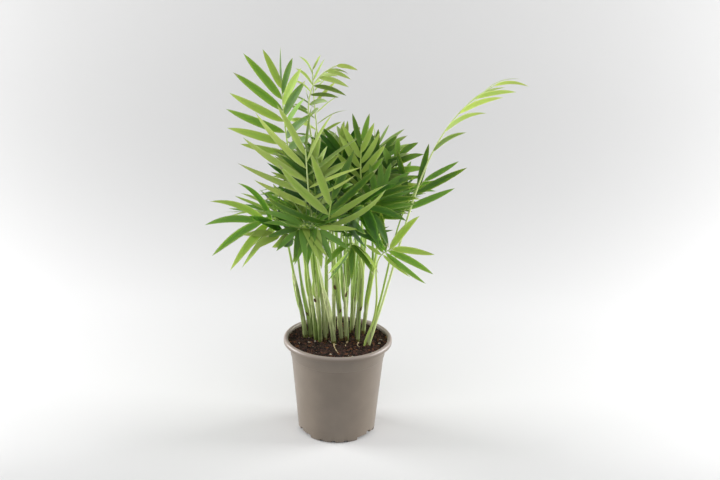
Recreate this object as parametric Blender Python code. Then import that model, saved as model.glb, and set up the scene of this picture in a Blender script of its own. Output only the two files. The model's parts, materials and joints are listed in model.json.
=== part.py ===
"""Parlour palm in its nursery pot.

A clump of palm seedlings in a 12 cm moulded pot: the pot, its compost, the short shoots that stand in the
compost, and the fronds on the shoots. The origin is the centre of the pot's underside, +X is to the right in
the front view, +Y away from the viewer and +Z up. The model is in metres. The schedules of shoots and fronds
are in millimetres and degrees, and a bearing turns from +X towards +Y.
"""

import math
import random
from typing import NamedTuple

import bmesh
import bpy
from mathutils import Vector
from mathutils.bvhtree import BVHTree

MM = 0.001
CLEAR = 0.3 * MM
UP = Vector((0, 0, 1))

GOLDEN_ANGLE = 137.5

# Pot, an injection moulded shell
POT_HEIGHT = 110.5 * MM
POT_SIDES = 40
LIP_RADIUS = 60 * MM
LIP_DEPTH = 5.5 * MM
LIP_ROUND = 2.5 * MM
TOP_RADIUS = 53.1 * MM
FOOT_RADIUS = 42.7 * MM
WALL = 1.4 * MM
COLLAR_DEPTH = 20 * MM
COLLAR_STEP = 1.0 * MM
RIM_RADIUS = 55.3 * MM
FLARE_FOOT = 100.5 * MM
FLARE_TOP = 107.5 * MM
BRIDGE = 2.2 * MM
CORNER_ROUND = 2.5 * MM
ARC_STEPS = 3
SHARP_ANGLE = 35
FLOOR_HEIGHT = 5.0 * MM
FOOT_RING_WIDTH = 4.5 * MM
CENTRE_PAD_RADIUS = 10 * MM

# Its underside: three feet, a gap with a drain between each two, and notches under each foot
FEET = 3
FRONT_FOOT_BEARING = 266.4
FOOT_GAP_ARC = 45
GAP_TOP = 4.4 * MM
DRAIN_WIDTH = 3.4 * MM
DRAIN_TOP = 6.6 * MM
DRAIN_REACH = 4.5 * MM
NOTCH_BEARINGS = (-19, 0, 19)
NOTCH_WIDTH = 3.3 * MM
NOTCH_HEIGHT = 1.8 * MM
CUTTER_STEP = 9

# Compost
COMPOST_HEIGHT = 104.3 * MM
COMPOST_RISE = 2.2 * MM
COMPOST_SIDES = 32
COMPOST_RINGS = 3

# Shoots
SHOOT_SIDES = 6
SHOOT_STEPS = 3

# Rachises: the share of its length over which one keeps to its shoot's run, and then to its own aim
RACHIS_SIDES = 3
RACHIS_STEPS = 9
PETIOLE_RADIUS = 1.4 * MM
RACHIS_TIP_RADIUS = 0.55 * MM
FOOT_LEAD = 0.42
TIP_LEAD = 0.3
RACHIS_TRIES = 24
RACHIS_SHIFT = 1.2 * MM

# Leaflets: on each frond they are longest a little above the lowest, and lean forward more and more
LAST_ROOT = 0.995
SMALLEST = 0.5
SIZE_START = 0.2
SIZE_SPAN = 0.7
TIP_SPREAD = 14
SPREAD_POWER = 2.2
WIDEST_AT = 0.38
BLADE_THICKNESS = 0.011
LENGTH_JITTER = 0.08
ANGLE_JITTER = 4
TWIST_JITTER = 14
SEED = 12

# A leaflet that would touch another frond is lifted, leant forward or shortened, and at last left out
CHANGES = (
    (0, 0, 1),
    (8, 0, 1),
    (-8, 0, 1),
    (0, 9, 1),
    (0, -9, 1),
    (16, 5, 0.85),
    (-16, -5, 0.85),
)

# Booleans: points closer than this count as one
WELD = 0.001 * MM

TINTS = {
    "pot": ("#8b8070", 0.55),
    "compost": ("#3a241b", 0.95),
    "stem": ("#9dbb62", 0.5),
    "young": ("#a5c840", 0.45),
    "bright": ("#6f9f26", 0.42),
    "mid": ("#4c7a20", 0.4),
    "dark": ("#2c5a10", 0.38),
}


class Shoot(NamedTuple):
    """A young stem: where it stands, where it ends and how thick its foot is, in millimetres."""

    foot: tuple
    top: tuple
    radius: float


class Leaflets(NamedTuple):
    """How a frond is feathered, in millimetres and degrees.

    pairs is its pairs of leaflets, above the share of its length that is bare. length and width are those
    of its longest leaflet, spread the angle of its lowest ones to the rachis, droop how far a tip sags as a
    share of its leaflet's length, and twist how far each leaflet is turned about its own run. slim is the
    width of its right leaflets as a share of that of its left ones, and swell how much longer its last
    leaflets are than the rule makes them, which opens a frond's end like a hand.
    """

    pairs: int
    bare: float
    length: float
    width: float
    spread: float
    droop: float = 0.2
    twist: float = 0
    slim: float = 1
    swell: float = 0


class Frond(NamedTuple):
    """A feather leaf on a shoot, in millimetres and degrees.

    tip is where its rachis ends, aim the bearing and elevation it ends with, and face the bearing and
    elevation that its upper side looks to. fold is how far its left and right leaflets are lifted from flat.
    """

    name: str
    shoot: int
    tip: tuple
    aim: tuple
    face: tuple
    leaflets: Leaflets
    tint: str
    fold: tuple = (0, 0)


class Tier(NamedTuple):
    """A row of fronds within or behind the clump, in millimetres and degrees.

    Its fronds stand on the shoots listed and lean to bearings spread evenly between two. They end at a
    reach from the pot's axis and a rise above its feet, at one elevation.
    """

    name: str
    shoots: tuple
    bearings: tuple
    reach: float
    rise: float
    elevation: float
    tint: str


SHOOTS = (
    Shoot((-36, 9), (-50, 4, 185), 2.7),
    Shoot((-30, 10), (-41, 5, 172), 2.3),
    Shoot((-28, 17), (-37, 15, 185), 2.2),
    Shoot((-24, 3), (-33, -5, 182), 2.3),
    Shoot((-19, -2), (-27, -10, 180), 2.3),
    Shoot((-14, 4), (-21, 0, 186), 2.2),
    Shoot((-4, -5), (-17, -17, 176), 2.5),
    Shoot((-13, 14), (-14, 12, 188), 2.2),
    Shoot((-5, 20), (-6, 22, 188), 2.2),
    Shoot((4, 3), (-4, -4, 182), 2.2),
    Shoot((10, 4), (5, -1, 186), 2.2),
    Shoot((8, 15), (10, 14, 186), 2.1),
    Shoot((15, 24), (16, 27, 186), 2.1),
    Shoot((1, 32), (-1, 40, 182), 2.2),
    Shoot((22, 0), (25, -5, 182), 2.2),
    Shoot((21, 12), (25, 12, 186), 2.2),
    Shoot((28, 22), (38, 26, 184), 2.2),
    Shoot((32, -10), (39, -9, 129), 3.0),
    Shoot((-20, 27), (-27, 34, 182), 2.2),
    Shoot((16, 36), (21, 46, 180), 2.2),
)

TALL_FRONDS = (
    Frond("tall_left", 2, (-64, 20, 394), (180, 88), (270, 5),
          Leaflets(7, 0.58, 74, 9.5, 62, 0.05), "bright", (0, 58)),
    Frond("light_left", 6, (-36, -42, 340), (180, 86), (265, 5),
          Leaflets(5, 0.56, 88, 8, 56, 0.05, slim=0.5), "young", (0, 25)),
    Frond("pale_top", 7, (-32, 40, 404), (200, 88), (270, 20),
          Leaflets(7, 0.60, 46, 5, 50, 0.30, 60), "young", (10, 10)),
    Frond("yellow_top", 8, (-5, -15, 423), (0, 22), (275, 60),
          Leaflets(7, 0.60, 34, 6, 84, 0.34), "young", (-66, -54)),
    Frond("long_right", 17, (160, -12, 404), (0, 30), (270, 85),
          Leaflets(5, 0.58, 62, 6, 24, 0.24), "young", (-30, -30)),
)

SIDE_FRONDS = (
    Frond("right_middle", 17, (90, 0, 294), (0, 48), (290, 25), Leaflets(3, 0.68, 68, 8, 40, 0.05), "mid"),
    Frond("right_low", 17, (56, -45, 232), (350, 24), (278, 20),
          Leaflets(4, 0.84, 30, 6, 78, 0.16, swell=1.6), "bright"),
    Frond("left_low", 0, (-84, -45, 260), (190, -2), (252, 34),
          Leaflets(4, 0.66, 58, 8.5, 46, 0.24, swell=0.45), "mid"),
    Frond("left_front", 1, (-68, -56, 250), (200, -4), (262, 40),
          Leaflets(3, 0.62, 48, 11, 30, 0.04), "dark"),
    Frond("left_middle", 18, (-48, 10, 262), (185, 75), (260, 20),
          Leaflets(6, 0.55, 50, 9, 42, 0.10), "mid"),
)

FRONT_FRONDS = (
    Frond("front_hand", 3, (-43, -64, 258), (225, -38), (268, 30),
          Leaflets(6, 0.72, 40, 8, 88, 0.08, swell=0.3), "mid"),
    Frond("front_right", 4, (-20, -62, 257), (325, -42), (272, 30),
          Leaflets(6, 0.72, 40, 8, 88, 0.08, swell=0.3), "mid"),
    Frond("centre_fold", 9, (-8, -60, 290), (60, 70), (275, 15),
          Leaflets(4, 0.62, 86, 10, 52, 0.02), "mid"),
    Frond("dark_front", 10, (32, -44, 274), (325, -30), (290, 35),
          Leaflets(4, 0.58, 58, 12, 55, 0.25), "dark"),
    Frond("centre_low", 10, (12, -44, 262), (300, 20), (275, 30),
          Leaflets(5, 0.45, 62, 11, 60, 0.20), "dark"),
    Frond("front_low", 14, (14, -52, 236), (290, -30), (275, 30),
          Leaflets(5, 0.50, 54, 9, 65, 0.25), "bright"),
    Frond("right_inner", 15, (48, -18, 292), (10, 55), (285, 25),
          Leaflets(6, 0.52, 54, 9, 52, 0.15), "mid", (5, 5)),
)

CENTRE_FRONDS = (
    Frond("bright_centre", 15, (22, -28, 345), (60, 85), (270, 5),
          Leaflets(5, 0.62, 46, 7, 35, 0.0), "bright"),
    Frond("centre_left", 5, (-30, -22, 318), (180, 80), (250, 20),
          Leaflets(7, 0.54, 60, 9, 56, 0.12), "dark", (10, 10)),
    Frond("centre", 11, (0, -6, 330), (180, 78), (265, 15),
          Leaflets(7, 0.54, 58, 9, 48, 0.12), "dark", (10, 10)),
    Frond("centre_right", 12, (38, 8, 318), (20, 65), (285, 20),
          Leaflets(7, 0.56, 54, 8.5, 52, 0.15), "mid", (10, 10)),
    Frond("right_tuft", 16, (62, 8, 318), (20, 60), (280, 30),
          Leaflets(5, 0.60, 46, 8, 48, 0.25), "bright", (15, 15)),
)

TIERS = (
    Tier("middle", (14, 11, 7, 9), (-30, 240), 16, 282, 38, "mid"),
    Tier("back_low", (16, 19, 12, 13, 18, 8), (30, 165), 84, 248, 5, "mid"),
    Tier("back_high", (15, 16, 19, 13, 11, 18), (40, 150), 50, 300, 55, "dark"),
)
TIER_REACH_JITTER = 12
TIER_RISE_JITTER = 18
TIER_AIM_JITTER = 12
TIER_LENGTHS = (54, 68)
TIER_SPREADS = (48, 62)
TIER_DROOPS = (0.1, 0.3)
TIER_WIDTH = 9
TIER_BARE = 0.52
TIER_PAIRS = 6
TIER_FOLD = 8


def tier_fronds():
    """The fronds of every tier, each varied a little by a seeded draw."""
    fronds = []
    for tier in TIERS:
        rng = random.Random(f"{SEED} {tier.name}")
        first, last = tier.bearings
        for number, shoot in enumerate(tier.shoots):
            bearing = first + (last - first) * number / (len(tier.shoots) - 1)
            out = direction(bearing) * (tier.reach + rng.uniform(-1, 1) * TIER_REACH_JITTER)
            rise = tier.rise + rng.uniform(-1, 1) * TIER_RISE_JITTER
            elevation = tier.elevation + rng.uniform(-1, 1) * TIER_AIM_JITTER
            leaflets = Leaflets(
                pairs=TIER_PAIRS,
                bare=TIER_BARE,
                length=rng.uniform(*TIER_LENGTHS),
                width=TIER_WIDTH,
                spread=rng.uniform(*TIER_SPREADS),
                droop=rng.uniform(*TIER_DROOPS),
            )
            fronds.append(
                Frond(
                    name=f"{tier.name}_{number}",
                    shoot=shoot,
                    tip=(out.x, out.y, rise),
                    aim=(bearing, elevation),
                    face=(bearing, 90 - tier.elevation),
                    leaflets=leaflets,
                    tint=tier.tint,
                    fold=(TIER_FOLD, TIER_FOLD),
                )
            )
    return fronds


def wall_radius(height):
    """Outer radius of the pot's plain tapering wall."""
    return FOOT_RADIUS + (TOP_RADIUS - FOOT_RADIUS) * height / POT_HEIGHT


def direction(bearing, elevation=0.0):
    """Unit vector for a bearing and an elevation in degrees."""
    turn, lift = math.radians(bearing), math.radians(elevation)
    return Vector((math.cos(turn) * math.cos(lift), math.sin(turn) * math.cos(lift), math.sin(lift)))


def arc(centre, radius, first, last):
    """Points of a rounded corner in a (radius, height) profile, between two angles in degrees."""
    points = []
    for step in range(ARC_STEPS + 1):
        angle = math.radians(first + (last - first) * step / ARC_STEPS)
        points.append((centre[0] + radius * math.cos(angle), centre[1] + radius * math.sin(angle)))
    return points


def material(tint):
    """Principled material in one of the plant's tints."""
    colour, roughness = TINTS[tint]
    found = bpy.data.materials.get(tint)
    if found:
        return found
    made = bpy.data.materials.new(tint)
    made.use_nodes = True
    channels = [int(colour[i : i + 2], 16) / 255 for i in (1, 3, 5)]
    linear = [((c + 0.055) / 1.055) ** 2.4 for c in channels]
    shader = made.node_tree.nodes["Principled BSDF"]
    shader.inputs["Base Color"].default_value = (*linear, 1)
    shader.inputs["Roughness"].default_value = roughness
    shader.inputs["Metallic"].default_value = 0
    made.diffuse_color = (*linear, 1)
    return made


def mesh_object(name, points, faces, tint=None, collection=None):
    """An object made from points and faces, in the scene or in a given collection."""
    mesh = bpy.data.meshes.new(name)
    mesh.from_pydata([tuple(point) for point in points], [], faces)
    obj = bpy.data.objects.new(name, mesh)
    if tint:
        mesh.materials.append(material(tint))
    (collection or bpy.context.scene.collection).objects.link(obj)
    return obj


def turned(name, profile, sides, tint):
    """A solid turned about the pot's axis from a (radius, height) profile that starts and ends on it."""
    bm = bmesh.new()
    corners = [bm.verts.new((radius, 0, height)) for radius, height in profile]
    edges = [bm.edges.new(pair) for pair in zip(corners, corners[1:])]
    bmesh.ops.spin(
        bm, geom=corners + edges, cent=(0, 0, 0), axis=UP, angle=math.tau, steps=sides, use_merge=True
    )
    bmesh.ops.remove_doubles(bm, verts=bm.verts, dist=WELD)
    bmesh.ops.recalc_face_normals(bm, faces=bm.faces)
    obj = mesh_object(name, [], [], tint)
    bm.to_mesh(obj.data)
    bm.free()
    obj.data.shade_smooth()
    obj.data.set_sharp_from_angle(angle=math.radians(SHARP_ANGLE))
    return obj


def pot_profile():
    """The shell's section: up its inside, over the lip, down the outside, the ring of the feet and a centre pad."""
    floor = FLOOR_HEIGHT + WALL
    collar = POT_HEIGHT - COLLAR_DEPTH
    lip_foot = POT_HEIGHT - LIP_DEPTH
    flare = wall_radius(FLARE_FOOT) + COLLAR_STEP
    ring = wall_radius(0) - CORNER_ROUND
    inside = [
        (0, floor),
        (wall_radius(floor) - WALL, floor),
        (wall_radius(collar) - WALL, collar),
        (wall_radius(collar) + COLLAR_STEP - WALL, collar + COLLAR_STEP),
        (flare - WALL, FLARE_FOOT),
        (RIM_RADIUS, FLARE_TOP),
        (RIM_RADIUS, POT_HEIGHT),
    ]
    lip = arc((LIP_RADIUS - LIP_ROUND, POT_HEIGHT - LIP_ROUND), LIP_ROUND, 90, 0) + [
        (LIP_RADIUS, lip_foot),
        (LIP_RADIUS - WALL, lip_foot),
        (LIP_RADIUS - WALL, POT_HEIGHT - BRIDGE),
        (RIM_RADIUS + WALL, POT_HEIGHT - BRIDGE),
        (RIM_RADIUS + WALL, FLARE_TOP - WALL / 2),
        (flare, FLARE_FOOT - WALL / 2),
    ]
    outside = [
        (wall_radius(collar) + COLLAR_STEP, collar),
        (wall_radius(collar), collar - COLLAR_STEP),
    ] + arc((ring, CORNER_ROUND), CORNER_ROUND, 0, -90)
    underside = [
        (ring - FOOT_RING_WIDTH, 0),
        (ring - FOOT_RING_WIDTH, FLOOR_HEIGHT),
        (CENTRE_PAD_RADIUS, FLOOR_HEIGHT),
        (CENTRE_PAD_RADIUS, 0),
        (0, 0),
    ]
    return inside + lip + outside + underside


def sector(name, inner, outer, arc_degrees, top, bearing, collection):
    """A cutter that spans an arc of the pot's underside between two radii, from below up to a height."""
    steps = max(1, round(arc_degrees / CUTTER_STEP))
    rim = []
    for step in range(steps + 1):
        rim.append(direction(bearing + arc_degrees * (step / steps - 0.5)))
    outline = [side * outer for side in rim] + [side * inner for side in reversed(rim)]
    count = len(outline)
    points = [point - UP * WALL for point in outline] + [point + UP * top for point in outline]
    faces = [tuple(reversed(range(count))), tuple(range(count, 2 * count))]
    faces += [(i, (i + 1) % count, (i + 1) % count + count, i + count) for i in range(count)]
    cutter = mesh_object(name, points, faces, None, collection)
    cutter.hide_render = True
    cutter.display_type = "WIRE"
    return cutter


def build_pot():
    """The nursery pot, with its feet, drains and notches cut from the turned shell."""
    pot = turned("pot", pot_profile(), POT_SIDES, "pot")
    cutters = bpy.data.collections.new("pot_cutters")
    bpy.context.scene.collection.children.link(cutters)
    ring = wall_radius(0) - CORNER_ROUND
    inner, outer = ring - FOOT_RING_WIDTH - WALL, wall_radius(0) + 2 * WALL
    for foot in range(FEET):
        middle = FRONT_FOOT_BEARING + 360 / FEET * foot
        gap = middle + 180 / FEET
        sector(f"gap_{foot}", inner, outer, FOOT_GAP_ARC, GAP_TOP, gap, cutters)
        drain_arc = math.degrees(DRAIN_WIDTH / wall_radius(0))
        sector(f"drain_{foot}", wall_radius(0) - DRAIN_REACH, outer, drain_arc, DRAIN_TOP, gap, cutters)
        notch_arc = math.degrees(NOTCH_WIDTH / wall_radius(0))
        for number, bearing in enumerate(NOTCH_BEARINGS):
            sector(f"notch_{foot}_{number}", inner, outer, notch_arc, NOTCH_HEIGHT, middle + bearing, cutters)
    cut = pot.modifiers.new("underside", "BOOLEAN")
    cut.operation = "DIFFERENCE"
    cut.operand_type = "COLLECTION"
    cut.collection = cutters
    return pot


def compost_radius(height):
    """Radius of the root ball, a hair inside the pot's wall and its flare."""
    if height < FLARE_FOOT:
        return wall_radius(height) - WALL - CLEAR
    foot = wall_radius(FLARE_FOOT) + COLLAR_STEP - WALL
    return foot + (RIM_RADIUS - foot) * (height - FLARE_FOOT) / (FLARE_TOP - FLARE_FOOT) - CLEAR


def compost_top(radius):
    """Height of the compost at a distance from the pot's axis: it rises a little to the rim."""
    return COMPOST_HEIGHT + COMPOST_RISE * (radius / RIM_RADIUS) ** 2


def build_compost():
    """The root ball, which fills the pot to a few millimetres below its lip."""
    floor = FLOOR_HEIGHT + WALL + CLEAR
    edge = compost_radius(COMPOST_HEIGHT + COMPOST_RISE)
    rings = [edge * step / COMPOST_RINGS for step in range(COMPOST_RINGS, -1, -1)]
    collar = POT_HEIGHT - COLLAR_DEPTH
    profile = [(0, floor)] + [(compost_radius(height), height) for height in (floor, collar, FLARE_FOOT)]
    profile += [(radius, compost_top(radius)) for radius in rings]
    return turned("compost", profile, COMPOST_SIDES, "compost")


def bezier(controls, share):
    """Point at a share of the way along a curve of four control points."""
    points = list(controls)
    while len(points) > 1:
        points = [a.lerp(b, share) for a, b in zip(points, points[1:])]
    return points[0]


def heading(controls, share):
    """Unit tangent of a curve of four control points."""
    legs = [b - a for a, b in zip(controls, controls[1:])]
    return bezier(legs, share).normalized()


def tube(path, tangents, radii, sides):
    """Points and faces of a closed tube through a path, with flat ends square to its tangents."""
    points, faces = [], []
    for centre, tangent, radius in zip(path, tangents, radii):
        side = tangent.cross(Vector((0, 1, 0))).normalized()
        other = tangent.cross(side)
        for corner in range(sides):
            angle = math.tau * corner / sides
            points.append(centre + (side * math.cos(angle) + other * math.sin(angle)) * radius)
    for ring in range(len(path) - 1):
        for corner in range(sides):
            a, b = ring * sides + corner, ring * sides + (corner + 1) % sides
            faces.append((a, b, b + sides, a + sides))
    faces.append(tuple(reversed(range(sides))))
    faces.append(tuple(range(len(points) - sides, len(points))))
    return points, faces


def shoot_curve(shoot):
    """Control points of a shoot, which leaves the compost steeply and then leans out."""
    radius = shoot.radius * MM
    x, y = (value * MM for value in shoot.foot)
    ground = compost_top(math.hypot(x, y) + radius) + CLEAR
    foot, top = Vector((x, y, ground)), Vector(shoot.top) * MM
    rise = (top - foot).length
    lean = (top - foot).normalized()
    return [foot, foot + (lean + UP).normalized() * rise / 3, top - lean * rise / 3, top]


def fork_radius(count):
    """Radius of the ring on which so many petioles stand side by side, or nothing for a single one."""
    return (PETIOLE_RADIUS + CLEAR) / math.sin(math.pi / count) if count > 1 else 0.0


def shoot_shape(shoot, petioles):
    """Points and faces of a shoot, cut flat at the compost and square to its run below its petioles."""
    controls = shoot_curve(shoot)
    shares = [step / SHOOT_STEPS for step in range(SHOOT_STEPS + 1)]
    tangents = [UP] + [heading(controls, share) for share in shares[1:]]
    path = [bezier(controls, share) for share in shares]
    foot, top = shoot.radius * MM, PETIOLE_RADIUS + fork_radius(petioles) / 2
    radii = [foot + (top - foot) * share for share in shares]
    return tube(path, tangents, radii, SHOOT_SIDES)


class Space:
    """The room that solids have taken, to keep each new piece clear of the others."""

    def __init__(self):
        self.taken = []

    def add(self, owner, shape):
        points, faces = shape
        low = Vector(min(point[axis] for point in points) for axis in range(3))
        high = Vector(max(point[axis] for point in points) for axis in range(3))
        self.taken.append((owner, low, high, BVHTree.FromPolygons(points, faces)))

    def touches(self, owner, shape):
        """Whether a shape meets a solid of another owner."""
        points, faces = shape
        low = [min(point[axis] for point in points) for axis in range(3)]
        high = [max(point[axis] for point in points) for axis in range(3)]
        tree = None
        for other, other_low, other_high, other_tree in self.taken:
            if other in owner or any(
                high[axis] < other_low[axis] or low[axis] > other_high[axis] for axis in range(3)
            ):
                continue
            tree = tree or BVHTree.FromPolygons(points, faces)
            if tree.overlap(other_tree):
                return True
        return False


def frond_foot(frond, fronds):
    """Where a frond leaves its shoot, and its run there: in the middle of its top, or in a ring on a fork."""
    controls = shoot_curve(SHOOTS[frond.shoot])
    run = heading(controls, 1)
    top = controls[-1] + run * CLEAR

    def bearing(other):
        out = Vector(other.tip) * MM - top
        return math.degrees(math.atan2(out.y, out.x)) % 360

    mates = sorted((other for other in fronds if other.shoot == frond.shoot), key=bearing)
    middle = sum(bearing(other) for other in mates) / len(mates)
    place = mates.index(frond) - (len(mates) - 1) / 2
    out = direction(middle + 360 / len(mates) * place)
    out -= run * out.dot(run)
    return top + out.normalized() * fork_radius(len(mates)), run


def frond_curve(frond, foot, run):
    """Control points of a rachis from its shoot to its tip."""
    tip = Vector(frond.tip) * MM
    length = (tip - foot).length
    return [foot, foot + run * length * FOOT_LEAD, tip - direction(*frond.aim) * length * TIP_LEAD, tip]


def on_rachis(controls, share):
    """Point on the straight runs between a rachis's rings, where its leaflets have their roots."""
    step = min(int(share * RACHIS_STEPS), RACHIS_STEPS - 1)
    ends = [bezier(controls, end / RACHIS_STEPS) for end in (step, step + 1)]
    return ends[0].lerp(ends[1], share * RACHIS_STEPS - step)


def rachis_shape(controls, grow=0.0):
    """Points and faces of a rachis, three-sided and tapering to its tip."""
    shares = [step / RACHIS_STEPS for step in range(RACHIS_STEPS + 1)]
    path = [bezier(controls, share) for share in shares]
    tangents = [heading(controls, share) for share in shares]
    radii = [PETIOLE_RADIUS + (RACHIS_TIP_RADIUS - PETIOLE_RADIUS) * share + grow for share in shares]
    return tube(path, tangents, radii, RACHIS_SIDES)


def clear_curve(frond, fronds, space):
    """A frond's control points, with its middle moved aside as far as it takes to clear the others."""
    foot, run = frond_foot(frond, fronds)
    controls = frond_curve(frond, foot, run)
    owners = {frond.name, f"shoot_{frond.shoot:02d}"}
    for attempt in range(RACHIS_TRIES):
        shift = direction(attempt * GOLDEN_ANGLE) * RACHIS_SHIFT * attempt
        moved = [controls[0], controls[1] + shift * 0.5, controls[2] + shift, controls[3]]
        if not space.touches(owners, rachis_shape(moved, CLEAR)):
            return moved
    raise RuntimeError(f"{frond.name} finds no clear way up")


class Leaflet(NamedTuple):
    """One leaflet: its root, its run, the way its width lies, its length and width and the sag of its tip."""

    root: Vector
    run: Vector
    across: Vector
    length: float
    width: float
    sag: float


def leaflet_of(frond, controls, number, draws, change):
    """The leaflet of a number on a frond: even numbers on one side, odd on the other, the last at the tip."""
    row = frond.leaflets
    lift, forward, scale = change
    stretch, angle, twist = draws
    along = number / (2 * row.pairs - 1)
    share = row.bare + (LAST_ROOT - row.bare) * along
    tangent = heading(controls, share)
    face = direction(*frond.face)
    face = (face - tangent * face.dot(tangent)).normalized()
    right = number % 2
    side = tangent.cross(face) * (1 if right else -1)
    fold = math.radians(frond.fold[right] + lift)
    side = side * math.cos(fold) + face * math.sin(fold)
    spread = row.spread + (TIP_SPREAD - row.spread) * along**SPREAD_POWER
    spread = math.radians(spread + angle + forward)
    run = tangent * math.cos(spread) + side * math.sin(spread)
    across = (tangent - run * tangent.dot(run)).normalized()
    twist = math.radians(row.twist + twist)
    across = across * math.cos(twist) + run.cross(across) * math.sin(twist)
    size = SMALLEST + (1 - SMALLEST) * math.sin(math.pi * (SIZE_START + SIZE_SPAN * along))
    size *= stretch * scale * (1 + row.swell * along)
    length = row.length * MM * size
    width = row.width * MM * math.sqrt(size) * (row.slim if right else 1)
    return Leaflet(on_rachis(controls, share), run, across, length, width, row.droop * length)


def blade_shape(leaflet, grow=0.0):
    """Points and faces of a leaflet: eight faces from its root over its widest place to its tip."""
    width = leaflet.width / 2 + grow
    depth = leaflet.length * BLADE_THICKNESS / 2 + grow
    over = leaflet.run.cross(leaflet.across)
    middle = leaflet.root + leaflet.run * leaflet.length * WIDEST_AT - UP * leaflet.sag * WIDEST_AT**2
    tip = leaflet.root + leaflet.run * (leaflet.length + grow) - UP * leaflet.sag
    ring = [leaflet.across * width, over * depth, leaflet.across * -width, over * -depth]
    points = [leaflet.root] + [middle + corner for corner in ring] + [tip]
    faces = []
    for corner in range(4):
        a, b = corner + 1, (corner + 1) % 4 + 1
        faces += [(0, b, a), (5, a, b)]
    return points, faces


def grow_leaflets(frond, controls, space):
    """The shapes of a frond's leaflets, each in the first place where it clears every other frond."""
    rng = random.Random(f"{SEED} {frond.name}")
    shapes = []
    for number in range(2 * frond.leaflets.pairs):
        draws = (
            1 + rng.uniform(-LENGTH_JITTER, LENGTH_JITTER),
            rng.uniform(-ANGLE_JITTER, ANGLE_JITTER),
            rng.uniform(-TWIST_JITTER, TWIST_JITTER),
        )
        for change in CHANGES:
            leaflet = leaflet_of(frond, controls, number, draws, change)
            if not space.touches({frond.name}, blade_shape(leaflet, CLEAR)):
                shape = blade_shape(leaflet)
                space.add(frond.name, shape)
                shapes.append(shape)
                break
    return shapes


def drop_scraps(mesh):
    """Makes points a hair apart one, and keeps only the largest piece of a mesh that its edges hold together."""
    bm = bmesh.new()
    bm.from_mesh(mesh)
    bmesh.ops.triangulate(bm, faces=bm.faces)
    bmesh.ops.remove_doubles(bm, verts=bm.verts, dist=WELD)
    left, pieces = set(bm.faces), []
    while left:
        piece, front = [], [left.pop()]
        while front:
            face = front.pop()
            piece.append(face)
            near = {other for edge in face.edges for other in edge.link_faces} & left
            front += near
            left -= near
        pieces.append(piece)
    scraps = sorted(pieces, key=len)[:-1]
    bmesh.ops.delete(bm, geom=[face for piece in scraps for face in piece], context="FACES")
    bm.to_mesh(mesh)
    bm.free()


def is_sound(mesh):
    """Whether every edge of a mesh still has two faces once points a hair apart are made one."""
    bm = bmesh.new()
    bm.from_mesh(mesh)
    bmesh.ops.remove_doubles(bm, verts=bm.verts, dist=WELD)
    sound = all(edge.is_manifold for edge in bm.edges)
    bm.free()
    return sound


def fused(obj, leaflets, solver):
    """The mesh of a rachis joined with the leaflets of a collection, without loose scraps."""
    join = obj.modifiers.new("join", "BOOLEAN")
    join.operation = "UNION"
    join.operand_type = "COLLECTION"
    join.solver = solver
    join.collection = leaflets
    graph = bpy.context.evaluated_depsgraph_get()
    mesh = bpy.data.meshes.new_from_object(obj.evaluated_get(graph))
    obj.modifiers.remove(join)
    drop_scraps(mesh)
    return mesh


def build_frond(frond, controls, shapes):
    """One frond: its rachis with its leaflets fused on, the last of them left out where the join fails."""
    obj = mesh_object(frond.name, *rachis_shape(controls), frond.tint)
    leaflets = bpy.data.collections.new("leaflets")
    bpy.context.scene.collection.children.link(leaflets)
    for number, shape in enumerate(shapes):
        mesh_object(f"leaflet_{number}", *shape, frond.tint, leaflets)
    mesh = fused(obj, leaflets, "EXACT")
    while not is_sound(mesh):
        mesh = fused(obj, leaflets, "MANIFOLD")
        if is_sound(mesh):
            break
        bpy.data.objects.remove(leaflets.objects[-1])
        mesh = fused(obj, leaflets, "EXACT")
    obj.data = mesh
    for leaflet in list(leaflets.objects):
        bpy.data.objects.remove(leaflet)
    bpy.data.collections.remove(leaflets)
    return obj


def build_plant():
    """Every shoot, then every rachis, then the leaflets of one frond after another."""
    space = Space()
    fronds = list(TALL_FRONDS + SIDE_FRONDS + FRONT_FRONDS + CENTRE_FRONDS) + tier_fronds()
    for number, shoot in enumerate(SHOOTS):
        petioles = sum(frond.shoot == number for frond in fronds)
        shape = shoot_shape(shoot, petioles)
        name = f"shoot_{number:02d}"
        mesh_object(name, *shape, "stem")
        space.add(name, shape)
    curves = {}
    for frond in fronds:
        curves[frond.name] = clear_curve(frond, fronds, space)
        space.add(frond.name, rachis_shape(curves[frond.name]))
    for frond in fronds:
        shapes = grow_leaflets(frond, curves[frond.name], space)
        build_frond(frond, curves[frond.name], shapes)


def main():
    for obj in list(bpy.data.objects):
        bpy.data.objects.remove(obj)
    build_pot()
    build_compost()
    build_plant()


main()
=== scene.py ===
"""Looks of a parlour palm in its nursery pot.

The pot is turned again with its true roundings, the compost gets a crumbly top, and every shoot, rachis and
leaflet is grown by the rule of the solids: a shoot leans out of the compost, rachises fork from its top and
curve to their tips, and leaflets stand in pairs along them. The schedules are in millimetres and degrees, a
bearing turns from +X towards +Y, and everything else is in metres.
"""

import json
import math
import random
from functools import partial
from typing import NamedTuple

import bmesh
import bpy
from mathutils import Matrix, Vector, noise

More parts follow.
